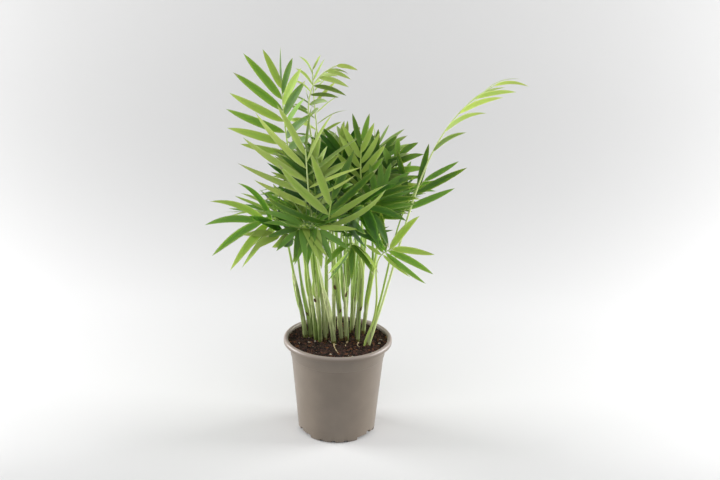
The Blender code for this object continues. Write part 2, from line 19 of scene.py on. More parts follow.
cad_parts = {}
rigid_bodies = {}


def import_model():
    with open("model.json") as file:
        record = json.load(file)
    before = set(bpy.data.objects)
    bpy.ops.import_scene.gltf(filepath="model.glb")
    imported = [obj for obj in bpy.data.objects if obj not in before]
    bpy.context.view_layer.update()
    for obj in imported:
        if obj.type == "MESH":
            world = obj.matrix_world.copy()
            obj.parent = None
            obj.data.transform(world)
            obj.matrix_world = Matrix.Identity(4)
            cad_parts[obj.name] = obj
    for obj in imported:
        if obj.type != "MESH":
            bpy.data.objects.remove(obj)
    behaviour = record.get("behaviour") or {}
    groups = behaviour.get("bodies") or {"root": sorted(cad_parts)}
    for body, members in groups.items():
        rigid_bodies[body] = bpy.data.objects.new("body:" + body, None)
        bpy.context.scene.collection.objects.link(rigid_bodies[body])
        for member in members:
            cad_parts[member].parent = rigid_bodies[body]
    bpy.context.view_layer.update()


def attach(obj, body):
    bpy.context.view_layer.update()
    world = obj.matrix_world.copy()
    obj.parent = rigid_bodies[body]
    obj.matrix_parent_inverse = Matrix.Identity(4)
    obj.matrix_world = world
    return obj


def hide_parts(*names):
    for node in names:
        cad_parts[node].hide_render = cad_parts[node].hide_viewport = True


bl_info = {
    "name": "Potted parlour palm",
    "version": (1, 0, 0),
    "blender": (4, 5, 0),
    "location": "3D View > Sidebar > Palm",
    "description": "Grows a potted parlour palm and sets up its studio",
    "category": "Object",
}

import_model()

MM = 0.001
UP = Vector((0, 0, 1))
WELD = 0.001 * MM
SHARP_ANGLE = 32
SEED = 12

# Pot
POT_HEIGHT = 110.5 * MM
LIP_RADIUS = 60 * MM
LIP_DEPTH = 5.5 * MM
LIP_ROUND = 2.5 * MM
TOP_RADIUS = 53.1 * MM
FOOT_RADIUS = 42.7 * MM
WALL = 1.4 * MM
COLLAR_DEPTH = 20 * MM
COLLAR_STEP = 1.0 * MM
RIM_RADIUS = 55.3 * MM
FLARE_FOOT = 100.5 * MM
FLARE_TOP = 107.5 * MM
BRIDGE = 2.2 * MM
CORNER_ROUND = 2.5 * MM
EDGE_ROUND = 0.45 * MM
FLOOR_HEIGHT = 5.0 * MM
FOOT_RING_WIDTH = 4.5 * MM
CENTRE_PAD_RADIUS = 10 * MM
FEET = 3
FRONT_FOOT_BEARING = 266.4
FOOT_GAP_ARC = 45
GAP_TOP = 4.4 * MM
DRAIN_WIDTH = 6.0 * MM
DRAIN_TOP = 7.4 * MM
DRAIN_REACH = 4.5 * MM
NOTCH_BEARINGS = (-19, 0, 19)
NOTCH_WIDTH = 4.2 * MM
NOTCH_HEIGHT = 2.6 * MM
CUTTER_STEP = 3
LIP_EASE = 1.6 * MM
# Painted highlight on the pot's lip: how far down from its top it reaches, and how much of its paler colour
# it gives at the top
LIP_HIGHLIGHT_DEPTH = 3.2 * MM
LIP_HIGHLIGHT_SHARE = 0.9
POT_GLOSS = 0.8

# Compost
COMPOST_HEIGHT = 104.3 * MM
COMPOST_RISE = 2.2 * MM
COMPOST_GAP = 0.3 * MM
FIRM_EDGE = 0.98
LUMP_ROUGHNESS = 0.7
LUMP_STEP = 2.1
LUMP_OCTAVES = 4
CRUMB_TILT = 0.5
CRUMB_TEAR = 2.2 * MM
CRUMB_KINDS = (("Bark", 0.55), ("Fibre", 0.9), ("Speck", 0.992))
TURN_SEED = 5
KIND_SEED = 9

# Rachises and leaflets, as in the solids
PETIOLE_RADIUS = 1.4 * MM
PETIOLE_GAP = 0.3 * MM
RACHIS_TIP_RADIUS = 0.55 * MM
FOOT_LEAD = 0.42
TIP_LEAD = 0.3
LAST_ROOT = 0.995
SMALLEST = 0.5
SIZE_START = 0.2
SIZE_SPAN = 0.7
TIP_SPREAD = 14
SPREAD_POWER = 2.2
LENGTH_JITTER = 0.08
ANGLE_JITTER = 4
TWIST_JITTER = 14


class Shoot(NamedTuple):
    """A young stem: where it stands, where it ends and how thick its foot is, in millimetres."""

    foot: tuple
    top: tuple
    radius: float


class Leaflets(NamedTuple):
    """How a frond is feathered, in millimetres and degrees.

    pairs is its pairs of leaflets, above the share of its length that is bare. length and width are those
    of its longest leaflet, spread the angle of its lowest ones to the rachis, droop how far a tip sags as a
    share of its leaflet's length, and twist how far each leaflet is turned about its own run. slim is the
    width of its right leaflets as a share of that of its left ones, and swell how much longer its last
    leaflets are than the rule makes them, which opens a frond's end like a hand.
    """

    pairs: int
    bare: float
    length: float
    width: float
    spread: float
    droop: float = 0.2
    twist: float = 0
    slim: float = 1
    swell: float = 0


class Frond(NamedTuple):
    """A feather leaf on a shoot, in millimetres and degrees.

    tip is where its rachis ends, aim the bearing and elevation it ends with, and face the bearing and
    elevation that its upper side looks to. fold is how far its left and right leaflets are lifted from flat.
    """

    name: str
    shoot: int
    tip: tuple
    aim: tuple
    face: tuple
    leaflets: Leaflets
    tint: str
    fold: tuple = (0, 0)


class Tier(NamedTuple):
    """A row of fronds within or behind the clump, in millimetres and degrees.

    Its fronds stand on the shoots listed and lean to bearings spread evenly between two. They end at a
    reach from the pot's axis and a rise above its feet, at one elevation.
    """

    name: str
    shoots: tuple
    bearings: tuple
    reach: float
    rise: float
    elevation: float
    tint: str


class Leaflet(NamedTuple):
    """One leaflet: its root, its run, the way its width lies, its length, its width and its tip's sag."""

    root: Vector
    run: Vector
    across: Vector
    length: float
    width: float
    sag: float


SHOOTS = (
    Shoot((-36, 9), (-50, 4, 185), 2.7),
    Shoot((-30, 10), (-41, 5, 172), 2.3),
    Shoot((-28, 17), (-37, 15, 185), 2.2),
    Shoot((-24, 3), (-33, -5, 182), 2.3),
    Shoot((-19, -2), (-27, -10, 180), 2.3),
    Shoot((-14, 4), (-21, 0, 186), 2.2),
    Shoot((-4, -5), (-17, -17, 176), 2.5),
    Shoot((-13, 14), (-14, 12, 188), 2.2),
    Shoot((-5, 20), (-6, 22, 188), 2.2),
    Shoot((4, 3), (-4, -4, 182), 2.2),
    Shoot((10, 4), (5, -1, 186), 2.2),
    Shoot((8, 15), (10, 14, 186), 2.1),
    Shoot((15, 24), (16, 27, 186), 2.1),
    Shoot((1, 32), (-1, 40, 182), 2.2),
    Shoot((22, 0), (25, -5, 182), 2.2),
    Shoot((21, 12), (25, 12, 186), 2.2),
    Shoot((28, 22), (38, 26, 184), 2.2),
    Shoot((32, -10), (39, -9, 129), 3.0),
    Shoot((-20, 27), (-27, 34, 182), 2.2),
    Shoot((16, 36), (21, 46, 180), 2.2),
)

TALL_FRONDS = (
    Frond("tall_left", 2, (-64, 20, 394), (180, 88), (270, 5),
          Leaflets(7, 0.58, 74, 9.5, 62, 0.05), "bright", (0, 58)),
    Frond("light_left", 6, (-36, -42, 340), (180, 86), (265, 5),
          Leaflets(5, 0.56, 88, 8, 56, 0.05, slim=0.5), "young", (0, 25)),
    Frond("pale_top", 7, (-32, 40, 404), (200, 88), (270, 20),
          Leaflets(7, 0.60, 46, 5, 50, 0.30, 60), "young", (10, 10)),
    Frond("yellow_top", 8, (-5, -15, 423), (0, 22), (275, 60),
          Leaflets(7, 0.60, 34, 6, 84, 0.34), "young", (-66, -54)),
    Frond("long_right", 17, (160, -12, 404), (0, 30), (270, 85),
          Leaflets(5, 0.58, 62, 6, 24, 0.24), "young", (-30, -30)),
)

SIDE_FRONDS = (
    Frond("right_middle", 17, (90, 0, 294), (0, 48), (290, 25), Leaflets(3, 0.68, 68, 8, 40, 0.05), "mid"),
    Frond("right_low", 17, (56, -45, 232), (350, 24), (278, 20),
          Leaflets(4, 0.84, 30, 6, 78, 0.16, swell=1.6), "bright"),
    Frond("left_low", 0, (-84, -45, 260), (190, -2), (252, 34),
          Leaflets(4, 0.66, 58, 8.5, 46, 0.24, swell=0.45), "mid"),
    Frond("left_front", 1, (-68, -56, 250), (200, -4), (262, 40),
          Leaflets(3, 0.62, 48, 11, 30, 0.04), "dark"),
    Frond("left_middle", 18, (-48, 10, 262), (185, 75), (260, 20),
          Leaflets(6, 0.55, 50, 9, 42, 0.10), "mid"),
)

FRONT_FRONDS = (
    Frond("front_hand", 3, (-43, -64, 258), (225, -38), (268, 30),
          Leaflets(6, 0.72, 40, 8, 88, 0.08, swell=0.3), "mid"),
    Frond("front_right", 4, (-20, -62, 257), (325, -42), (272, 30),
          Leaflets(6, 0.72, 40, 8, 88, 0.08, swell=0.3), "mid"),
    Frond("centre_fold", 9, (-8, -60, 290), (60, 70), (275, 15),
          Leaflets(4, 0.62, 86, 10, 52, 0.02), "mid"),
    Frond("dark_front", 10, (32, -44, 274), (325, -30), (290, 35),
          Leaflets(4, 0.58, 58, 12, 55, 0.25), "dark"),
    Frond("centre_low", 10, (12, -44, 262), (300, 20), (275, 30),
          Leaflets(5, 0.45, 62, 11, 60, 0.20), "dark"),
    Frond("front_low", 14, (14, -52, 236), (290, -30), (275, 30),
          Leaflets(5, 0.50, 54, 9, 65, 0.25), "bright"),
    Frond("right_inner", 15, (48, -18, 292), (10, 55), (285, 25),
          Leaflets(6, 0.52, 54, 9, 52, 0.15), "mid", (5, 5)),
)

CENTRE_FRONDS = (
    Frond("bright_centre", 15, (22, -28, 345), (60, 85), (270, 5),
          Leaflets(5, 0.62, 46, 7, 35, 0.0), "bright"),
    Frond("centre_left", 5, (-30, -22, 318), (180, 80), (250, 20),
          Leaflets(7, 0.54, 60, 9, 56, 0.12), "dark", (10, 10)),
    Frond("centre", 11, (0, -6, 330), (180, 78), (265, 15),
          Leaflets(7, 0.54, 58, 9, 48, 0.12), "dark", (10, 10)),
    Frond("centre_right", 12, (38, 8, 318), (20, 65), (285, 20),
          Leaflets(7, 0.56, 54, 8.5, 52, 0.15), "mid", (10, 10)),
    Frond("right_tuft", 16, (62, 8, 318), (20, 60), (280, 30),
          Leaflets(5, 0.60, 46, 8, 48, 0.25), "bright", (15, 15)),
)

TIERS = (
    Tier("middle", (14, 11, 7, 9), (-30, 240), 16, 282, 38, "mid"),
    Tier("back_low", (16, 19, 12, 13, 18, 8), (30, 165), 84, 248, 5, "mid"),
    Tier("back_high", (15, 16, 19, 13, 11, 18), (40, 150), 50, 300, 55, "dark"),
)
TIER_REACH_JITTER = 12
TIER_RISE_JITTER = 18
TIER_AIM_JITTER = 12
TIER_LENGTHS = (54, 68)
TIER_SPREADS = (48, 62)
TIER_DROOPS = (0.1, 0.3)
TIER_WIDTH = 9
TIER_BARE = 0.52
TIER_PAIRS = 6
TIER_FOLD = 8

# Upper side of a leaflet by its frond's tint, and for its other faces a colour they take on, a share of it
# and a roughness
LEAF_COLOURS = {"young": "#a9bf66", "bright": "#739a3a", "mid": "#628c36", "dark": "#3b621f"}
UPPER_ROUGHNESS = 0.4
LEAF_FACES = (
    ("Fresh", "fresh", "#c9dd70", 0.42, 0.38),
    ("Deep", "deep", "#1d420a", 0.6, 0.42),
    ("Underside", "underside", "#a6b578", 0.45, 0.55),
    ("Dry Tip", "tip", "#a09a78", 0.6, 0.6),
)

# The greener fronds with at least so many pairs carry more and narrower leaflets than in the solids
FINE_TINTS = ("mid", "dark")
FINE_FROM = 6
FINE_PAIRS = 1.4
FINE_WIDTH = 0.85

# Outline of a leaflet: its half width as a share of the greatest, along its length
OUTLINE = (
    (0.0, 0.0), (0.03, 0.22), (0.12, 0.68), (0.26, 0.95), (0.4, 1.0),
    (0.58, 0.93), (0.76, 0.7), (0.9, 0.36), (1.0, 0.0),
)

# What the leaflets look like: their skin, where their tips may be dry, and the painted shade and light in the
# crown
LEAF_UV = "leaf_uv"
BLADE_COLUMNS = 9
BLADE_WELD = 0.002
LEAF_GLOSS = 0.3
LEAF_FLESH = {"Subsurface Weight": 0.25, "Subsurface Radius": (1.0, 1.4, 0.4), "Subsurface Scale": 1.2 * MM}
DRY_FROM = (0.9, 1.1)
# Partly older leaflets and partly painted shade: inside this sphere of the crown more leaflets are dealt the
# deep green
CROWN_CORE = (26 * MM, 20 * MM, 270 * MM)
CORE_RADIUS = 62 * MM
CORE_SHADE = 0.42
# Partly younger leaflets and partly painted light from above: over this height more leaflets are dealt the
# fresh green
CROWN_TOP = 300 * MM
TOP_LIFT = 0.5

# What the shoots and petioles look like: mouth, rims of the sheaths, foot, and where a petiole starts
MOUTH_RADIUS = 1.75
MOUTH_LENGTH = 9 * MM
MOUTH_CLOSED = 0.62
SHEATH_RIMS = 4
FIRST_RIM = 0.12
RIM_STEP = 0.2
RIM_JITTER = 0.05
SHEATH_SWELL = 0.3 * MM
SHEATH_FADE = 9 * MM
SHOOT_SUNK = 3 * MM
FOOT_RAGGED = 10 * MM
# Painted shade low on the shoots: how far above the compost it fades out
FOOT_SHADE_LENGTH = 60 * MM
TUCK_STEPS = 12
TUCK_RISE = 3
TUCK_POWER = 4

# Dry sheaths that stand off the shoots: shoot, share of its height, bearing, length in millimetres
SHEATHS = (
    (9, 0.82, 250, 9),
    (9, 0.44, 300, 8),
    (10, 0.65, 300, 11),
    (1, 0.38, 260, 9),
    (14, 0.49, 290, 9),
    (4, 0.66, 250, 8),
    (13, 0.50, 90, 10),
    (12, 0.42, 60, 9),
    (19, 0.55, 70, 9),
)
SHEATH_SEAT = 0.8
SHEATH_LEAN = 0.3
SHEATH_WIDTH = 2.8 * MM
SHEATH_CAMBER = -0.5
SHEATH_BEND = (0.1, -0.15, 0.3)
ALL_DRY = 2

# Pale roots that run over the compost from a shoot's foot, in millimetres on the ground plan
ROOTS = (
    ((-4, -6), (-5, -18), (1, -34)),
    ((11, -1), (8, -9), (9, -15)),
    ((23, -4), (20, -11), (24, -17)),
)
ROOT_RADIUS = 0.9 * MM
ROOT_STEPS = 16
ROOT_LEAD = 0.6
ROOT_TRAIL = 0.4
ROOT_RISE = 0.7
ROOT_TAPER = 0.55

# Marks that the points carry while they grow, and that the finished meshes do without
HELPERS = ("run", "across", "size", "bend", "shade", "dry", "blade", "below", "girth", "kind")

# Fineness of the patterns, in features to a metre, so that 1000 is one each millimetre
FLOW_CLOUDS = 45
MOULD_GRAIN = 1400
PEAT_GRAIN = 260
TORN_GRAIN = 900
SHEATH_FIBRES = 1000
SHOOT_AGES = 110
RACHIS_FIBRES = 700
PAPER_TOOTH = 900
STEM_RIBS = 700
CRUMB_TEARS = 500

# Studio
BACKDROP_WIDTH = 9.0
BACKDROP_FRONT = -3.0
SWEEP_ARC = 64
SWEEP_STEPS = 24
# Painted shade on the backdrop paper: its colour by distance along Y, palest round the pot and greyer in
# front and where the paper rises behind
PAINTED_PAPER_SHADES = ((-0.3, "#c8c8c8"), (-0.02, "#e6e6e6"), (0.3, "#e2e2e2"), (0.85, "#c2c2c2"))
PAPER_SPAN = (-0.3, 0.95)
OVERHEAD_PLACE = (0, -1.1, 1.5)
OVERHEAD_SIZE = 2.6
SIDE_PLACE = (1.3, 0.3, 0.42)
SIDE_SIZE = 0.9
LIGHT_AIM = (0, 0, 0.2)
SENSOR_WIDTH = 36
LENS = 85
CAMERA_PLACE = (0.0225, -1.734, 0.863)
CAMERA_PITCH = 20.2
CAMERA_ROLL = 1.1


def direction(bearing, elevation=0.0):
    """Unit vector for a bearing and an elevation in degrees."""
    turn, lift = math.radians(bearing), math.radians(elevation)
    return Vector((math.cos(turn) * math.cos(lift), math.sin(turn) * math.cos(lift), math.sin(lift)))


def tier_fronds():
    """The fronds of every tier, each varied a little by a seeded draw."""
    fronds = []
    for tier in TIERS:
        rng = random.Random(f"{SEED} {tier.name}")
        first, last = tier.bearings
        for number, shoot in enumerate(tier.shoots):
            bearing = first + (last - first) * number / (len(tier.shoots) - 1)
            out = direction(bearing) * (tier.reach + rng.uniform(-1, 1) * TIER_REACH_JITTER)
            rise = tier.rise + rng.uniform(-1, 1) * TIER_RISE_JITTER
            elevation = tier.elevation + rng.uniform(-1, 1) * TIER_AIM_JITTER
            leaflets = Leaflets(
                pairs=TIER_PAIRS,
                bare=TIER_BARE,
                length=rng.uniform(*TIER_LENGTHS),
                width=TIER_WIDTH,
                spread=rng.uniform(*TIER_SPREADS),
                droop=rng.uniform(*TIER_DROOPS),
            )
            fronds.append(
                Frond(
                    name=f"{tier.name}_{number}",
                    shoot=shoot,
                    tip=(out.x, out.y, rise),
                    aim=(bearing, elevation),
                    face=(bearing, 90 - tier.elevation),
                    leaflets=leaflets,
                    tint=tier.tint,
                    fold=(TIER_FOLD, TIER_FOLD),
                )
            )
    return fronds


def all_fronds():
    """Every frond of the clump, in the order of its solids."""
    return list(TALL_FRONDS + SIDE_FRONDS + FRONT_FRONDS + CENTRE_FRONDS) + tier_fronds()


def bezier(controls, share):
    """Point at a share of the way along a curve of four control points."""
    points = list(controls)
    while len(points) > 1:
        points = [a.lerp(b, share) for a, b in zip(points, points[1:])]
    return points[0]


def heading(controls, share):
    """Unit tangent of a curve of four control points."""
    legs = [b - a for a, b in zip(controls, controls[1:])]
    return bezier(legs, share).normalized()


def shoot_curve(shoot):
    """Control points of a shoot, which leaves the compost steeply and then leans out."""
    radius = shoot.radius * MM
    x, y = (value * MM for value in shoot.foot)
    ground = compost_top(math.hypot(x, y) + radius) + COMPOST_GAP
    foot, top = Vector((x, y, ground)), Vector(shoot.top) * MM
    rise = (top - foot).length
    lean = (top - foot).normalized()
    return [foot, foot + (lean + UP).normalized() * rise / 3, top - lean * rise / 3, top]


def fork_radius(count):
    """Radius of the ring on which so many petioles stand side by side, or nothing for a single one."""
    return (PETIOLE_RADIUS + PETIOLE_GAP) / math.sin(math.pi / count) if count > 1 else 0.0


def frond_foot(frond, fronds):
    """Where a frond leaves its shoot and its run there: in the middle of its top, or in a ring on a fork."""
    controls = shoot_curve(SHOOTS[frond.shoot])
    run = heading(controls, 1)
    top = controls[-1] + run * PETIOLE_GAP

    def bearing(other):
        out = Vector(other.tip) * MM - top
        return math.degrees(math.atan2(out.y, out.x)) % 360

    mates = sorted((other for other in fronds if other.shoot == frond.shoot), key=bearing)
    middle = sum(bearing(other) for other in mates) / len(mates)
    place = mates.index(frond) - (len(mates) - 1) / 2
    out = direction(middle + 360 / len(mates) * place)
    out -= run * out.dot(run)
    return top + out.normalized() * fork_radius(len(mates)), run


def frond_curve(frond, foot, run):
    """Control points of a rachis from its shoot to its tip."""
    tip = Vector(frond.tip) * MM
    length = (tip - foot).length
    return [foot, foot + run * length * FOOT_LEAD, tip - direction(*frond.aim) * length * TIP_LEAD, tip]


def leaflet_of(frond, controls, number, draws):
    """The leaflet of a number on a frond: even ones on one side, odd on the other, the last at the tip."""
    row = frond.leaflets
    stretch, angle, twist = draws
    along = number / (2 * row.pairs - 1)
    share = row.bare + (LAST_ROOT - row.bare) * along
    tangent = heading(controls, share)
    face = direction(*frond.face)
    face = (face - tangent * face.dot(tangent)).normalized()
    right = number % 2
    side = tangent.cross(face) * (1 if right else -1)
    fold = math.radians(frond.fold[right])
    side = side * math.cos(fold) + face * math.sin(fold)
    spread = row.spread + (TIP_SPREAD - row.spread) * along**SPREAD_POWER
    spread = math.radians(spread + angle)
    run = tangent * math.cos(spread) + side * math.sin(spread)
    across = (tangent - run * tangent.dot(run)).normalized() * (1 if right else -1)
    twist = math.radians(row.twist + twist)
    across = across * math.cos(twist) + run.cross(across) * math.sin(twist)
    size = SMALLEST + (1 - SMALLEST) * math.sin(math.pi * (SIZE_START + SIZE_SPAN * along))
    size *= stretch * (1 + row.swell * along)
    length = row.length * MM * size
    width = row.width * MM * math.sqrt(size) * (row.slim if right else 1)
    return Leaflet(bezier(controls, share), run, across, length, width, row.droop * length)


def linear(colour):
    """Linear RGBA of an sRGB hex colour."""
    channels = [int(colour[i : i + 2], 16) / 255 for i in (1, 3, 5)]
    return (*[c / 12.92 if c <= 0.04045 else ((c + 0.055) / 1.055) ** 2.4 for c in channels], 1)


def blended(first, second, share):
    """A share of the way from one linear colour to another."""
    return tuple(a + (b - a) * share for a, b in zip(first, second))


def wire(node, inputs):
    """Feeds a node's inputs, each by another node's first output, by a socket, or by a value."""
    for key, value in inputs.items():
        if isinstance(value, bpy.types.Node):
            value = value.outputs[0]
        if isinstance(value, bpy.types.NodeSocket):
            node.id_data.links.new(value, node.inputs[key])
        else:
            node.inputs[key].default_value = value


def add_node(tree, kind, inputs=None, **settings):
    """A new node with its settings and its inputs, which are linked or set."""
    node = tree.nodes.new(kind)
    for name, value in settings.items():
        setattr(node, name, value)
    wire(node, inputs or {})
    return node


def new_material(name, colour, roughness, ior):
    """A material of one colour to begin with, a function that adds nodes to it, and its shader."""
    made = bpy.data.materials.new(name)
    made.use_nodes = True
    made.diffuse_color = colour
    shader = made.node_tree.nodes["Principled BSDF"]
    wire(shader, {"Base Color": colour, "Roughness": roughness, "IOR": ior})
    return made, partial(add_node, made.node_tree), shader


def moulded_polypropylene(settings):
    """Injection moulded polypropylene: a satin skin with faint flow clouds, and a painted highlight on its
    lip.
    """
    made, add, shader = new_material("Moulded polypropylene", linear("#776c60"), roughness=0.4, ior=1.49)
    place = add("ShaderNodeTexCoord").outputs["Object"]
    clouds = add("ShaderNodeTexNoise", {"Vector": place, "Scale": FLOW_CLOUDS, "Detail": 3})
    skin = add(
        "ShaderNodeMix", {"Factor": clouds, "A": settings.dark, "B": settings.light}, data_type="RGBA"
    )
    height = add("ShaderNodeSeparateXYZ", {0: place}).outputs["Z"]
    # Painted highlight: the plastic is blended towards a paler colour over the lip's top few millimetres, in
    # place of the light from above that catches the lip
    highlit = add(
        "ShaderNodeMapRange",
        {
            "Value": height,
            "From Min": POT_HEIGHT - LIP_HIGHLIGHT_DEPTH,
            "From Max": POT_HEIGHT,
            "To Max": LIP_HIGHLIGHT_SHARE,
        },
    )
    colour = add(
        "ShaderNodeMix",
        {"Factor": highlit, "A": skin.outputs["Result"], "B": settings.lip_highlight},
        data_type="RGBA",
    )
    grain = add("ShaderNodeTexNoise", {"Vector": place, "Scale": MOULD_GRAIN, "Detail": 2})
    bump = add("ShaderNodeBump", {"Height": grain, "Strength": 0.12, "Distance": 0.03 * MM})
    wire(shader, {"Base Color": colour.outputs["Result"], "Normal": bump, "Specular IOR Level": POT_GLOSS})
    return made


def damp_compost(settings):
    """Peat compost kept moist: near black and matt, with fines between crumbs of a few millimetres."""
    made, add, shader = new_material("Damp peat compost", linear("#2a1a13"), roughness=0.9, ior=1.4)
    place = add("ShaderNodeTexCoord").outputs["Object"]
    crumb = add("ShaderNodeTexNoise", {"Vector": place, "Scale": PEAT_GRAIN, "Detail": 6, "Roughness": 0.7})
    colour = add(
        "ShaderNodeMix", {"Factor": crumb, "A": settings.dark, "B": settings.light}, data_type="RGBA"
    )
    bump = add("ShaderNodeBump", {"Height": crumb, "Strength": 0.9, "Distance": 1.2 * MM})
    wire(shader, {"Base Color": colour.outputs["Result"], "Normal": bump})
    return made


def crumb_material(name, colour, roughness):
    """Shredded bark or peat: matt, with the fine grain of torn wood."""
    made, add, shader = new_material(name, colour, roughness, ior=1.45)
    place = add("ShaderNodeTexCoord").outputs["Object"]
    grain = add("ShaderNodeTexNoise", {"Vector": place, "Scale": TORN_GRAIN, "Detail": 4})
    bump = add("ShaderNodeBump", {"Height": grain, "Strength": 0.6, "Distance": 0.3 * MM})
    wire(shader, {"Normal": bump})
    return made


def shoot_skin(name, colour, old_colour):
    """Leaf sheath wrapped round a young shoot: waxy and pale, with upright fibres a millimetre apart in it.

    Some shoots are older and greener than others, and each is darkened towards its foot by painted shade.
    """
    made, add, shader = new_material(name, colour, roughness=0.45, ior=1.43)
    place = add("ShaderNodeTexCoord").outputs["Object"]
    upright = add("ShaderNodeVectorMath", {0: place, 1: (1, 1, 0.04)}, operation="MULTIPLY")
    fibres = add("ShaderNodeTexNoise", {"Vector": upright, "Scale": SHEATH_FIBRES, "Detail": 3})
    streak = add(
        "ShaderNodeMapRange",
        {"Value": fibres, "From Min": 0.3, "From Max": 0.7, "To Min": 0.4, "To Max": 1.25},
    )
    height = add("ShaderNodeSeparateXYZ", {0: place}).outputs["Z"]
    # Painted shade: a shoot darkens towards the compost, down to 0.55 of its colour at its foot
    foot_shade = add(
        "ShaderNodeMapRange",
        {
            "Value": height,
            "From Min": COMPOST_HEIGHT,
            "From Max": COMPOST_HEIGHT + FOOT_SHADE_LENGTH,
            "To Min": 0.55,
        },
    )
    shade = add("ShaderNodeMath", {0: streak, 1: foot_shade}, operation="MULTIPLY")
    aside = add("ShaderNodeVectorMath", {0: place, 1: (1, 1, 0.01)}, operation="MULTIPLY")
    ages = add("ShaderNodeTexNoise", {"Vector": aside, "Scale": SHOOT_AGES, "Detail": 0})
    old = add("ShaderNodeMapRange", {"Value": ages, "From Min": 0.47, "From Max": 0.58, "To Max": 0.8})
    tone = add("ShaderNodeMix", {"Factor": old, "A": colour, "B": old_colour}, data_type="RGBA")
    tinted = add("ShaderNodeVectorMath", {0: tone.outputs["Result"], "Scale": shade}, operation="SCALE")
    bump = add("ShaderNodeBump", {"Height": fibres, "Strength": 0.4, "Distance": 0.15 * MM})
    wire(shader, {"Base Color": tinted, "Normal": bump})
    return made


def rachis_skin(name, colour):
    """Smooth green rachis: a waxy skin with a few long fibres just under it."""
    made, add, shader = new_material(name, colour, roughness=0.38, ior=1.43)
    place = add("ShaderNodeTexCoord").outputs["Object"]
    fibres = add("ShaderNodeTexNoise", {"Vector": place, "Scale": RACHIS_FIBRES, "Detail": 2})
    bump = add("ShaderNodeBump", {"Height": fibres, "Strength": 0.15, "Distance": 0.1 * MM})
    wire(shader, {"Normal": bump})
    return made


def leaf_skin(name, colour, roughness):
    """Palm leaflet: a satin cuticle over parallel veins 0.6 mm apart, lit from behind through thin flesh."""
    made, add, shader = new_material(name, colour, roughness, ior=1.45)
    place = add("ShaderNodeUVMap", uv_map=LEAF_UV)
    veins = add(
        "ShaderNodeTexWave",
        {"Vector": place, "Scale": 3.2, "Distortion": 0.3, "Detail": 1},
        bands_direction="Y",
    )
    shade = add("ShaderNodeMapRange", {"Value": veins.outputs["Fac"], "To Min": 0.86, "To Max": 1.1})
    tinted = add("ShaderNodeVectorMath", {0: colour[:3], "Scale": shade}, operation="SCALE")
    bump = add("ShaderNodeBump", {"Height": veins, "Strength": 0.25, "Distance": 0.12 * MM})
    wire(shader, {"Base Color": tinted, "Normal": bump, "Specular IOR Level": LEAF_GLOSS, **LEAF_FLESH})
    return made


def paper_sweep():
    """Matt backdrop paper with painted shade: palest round the pot and a shade greyer in front and where it
    rises behind.
    """
    palest = PAINTED_PAPER_SHADES[1][1]
    made, add, shader = new_material("Matt paper sweep", linear(palest), roughness=0.95, ior=1.4)
    place = add("ShaderNodeTexCoord").outputs["Object"]
    depth = add("ShaderNodeSeparateXYZ", {0: place}).outputs["Y"]
    nearest, furthest = PAPER_SPAN
    share = add("ShaderNodeMapRange", {"Value": depth, "From Min": nearest, "From Max": furthest})
    # Painted shade: the paper's colour ramps with depth
    shades = add("ShaderNodeValToRGB", {"Fac": share})
    stops = shades.color_ramp.elements
    shades.color_ramp.interpolation = "EASE"
    for number, (reach, colour) in enumerate(PAINTED_PAPER_SHADES):
        position = (reach - nearest) / (furthest - nearest)
        stop = stops[number] if number < 2 else stops.new(position)
        stop.position = position
        stop.color = linear(colour)
    tooth = add("ShaderNodeTexNoise", {"Vector": place, "Scale": PAPER_TOOTH, "Detail": 2})
    bump = add("ShaderNodeBump", {"Height": tooth, "Strength": 0.03, "Distance": 0.1 * MM})
    wire(shader, {"Base Color": shades, "Normal": bump})
    return made


def new_tree(name, **sockets):
    """A geometry node tree with named inputs of each kind, besides the geometry that comes in and goes out.

    With it come a function that adds nodes to it, the sockets of its inputs and its output node.
    """
    tree = bpy.data.node_groups.new(name, "GeometryNodeTree")
    tree.interface.new_socket("Geometry", in_out="OUTPUT", socket_type="NodeSocketGeometry")
    for kind, labels in {"Geometry": ["Geometry"], **sockets}.items():
        for label in labels:
            tree.interface.new_socket(label, in_out="INPUT", socket_type=f"NodeSocket{kind}")
    enter, leave = tree.nodes.new("NodeGroupInput"), tree.nodes.new("NodeGroupOutput")
    return tree, partial(add_node, tree), enter.outputs, leave


def painted(add, geometry, given, base, dealt):
    """Geometry in a base material, and in others where their fields say so, each by its input's name."""
    shown = add("GeometryNodeSetMaterial", {"Geometry": geometry, "Material": given[base]})
    for slot, where in dealt.items():
        shown = add(
            "GeometryNodeSetMaterial", {"Geometry": shown, "Selection": where, "Material": given[slot]}
        )
    return shown


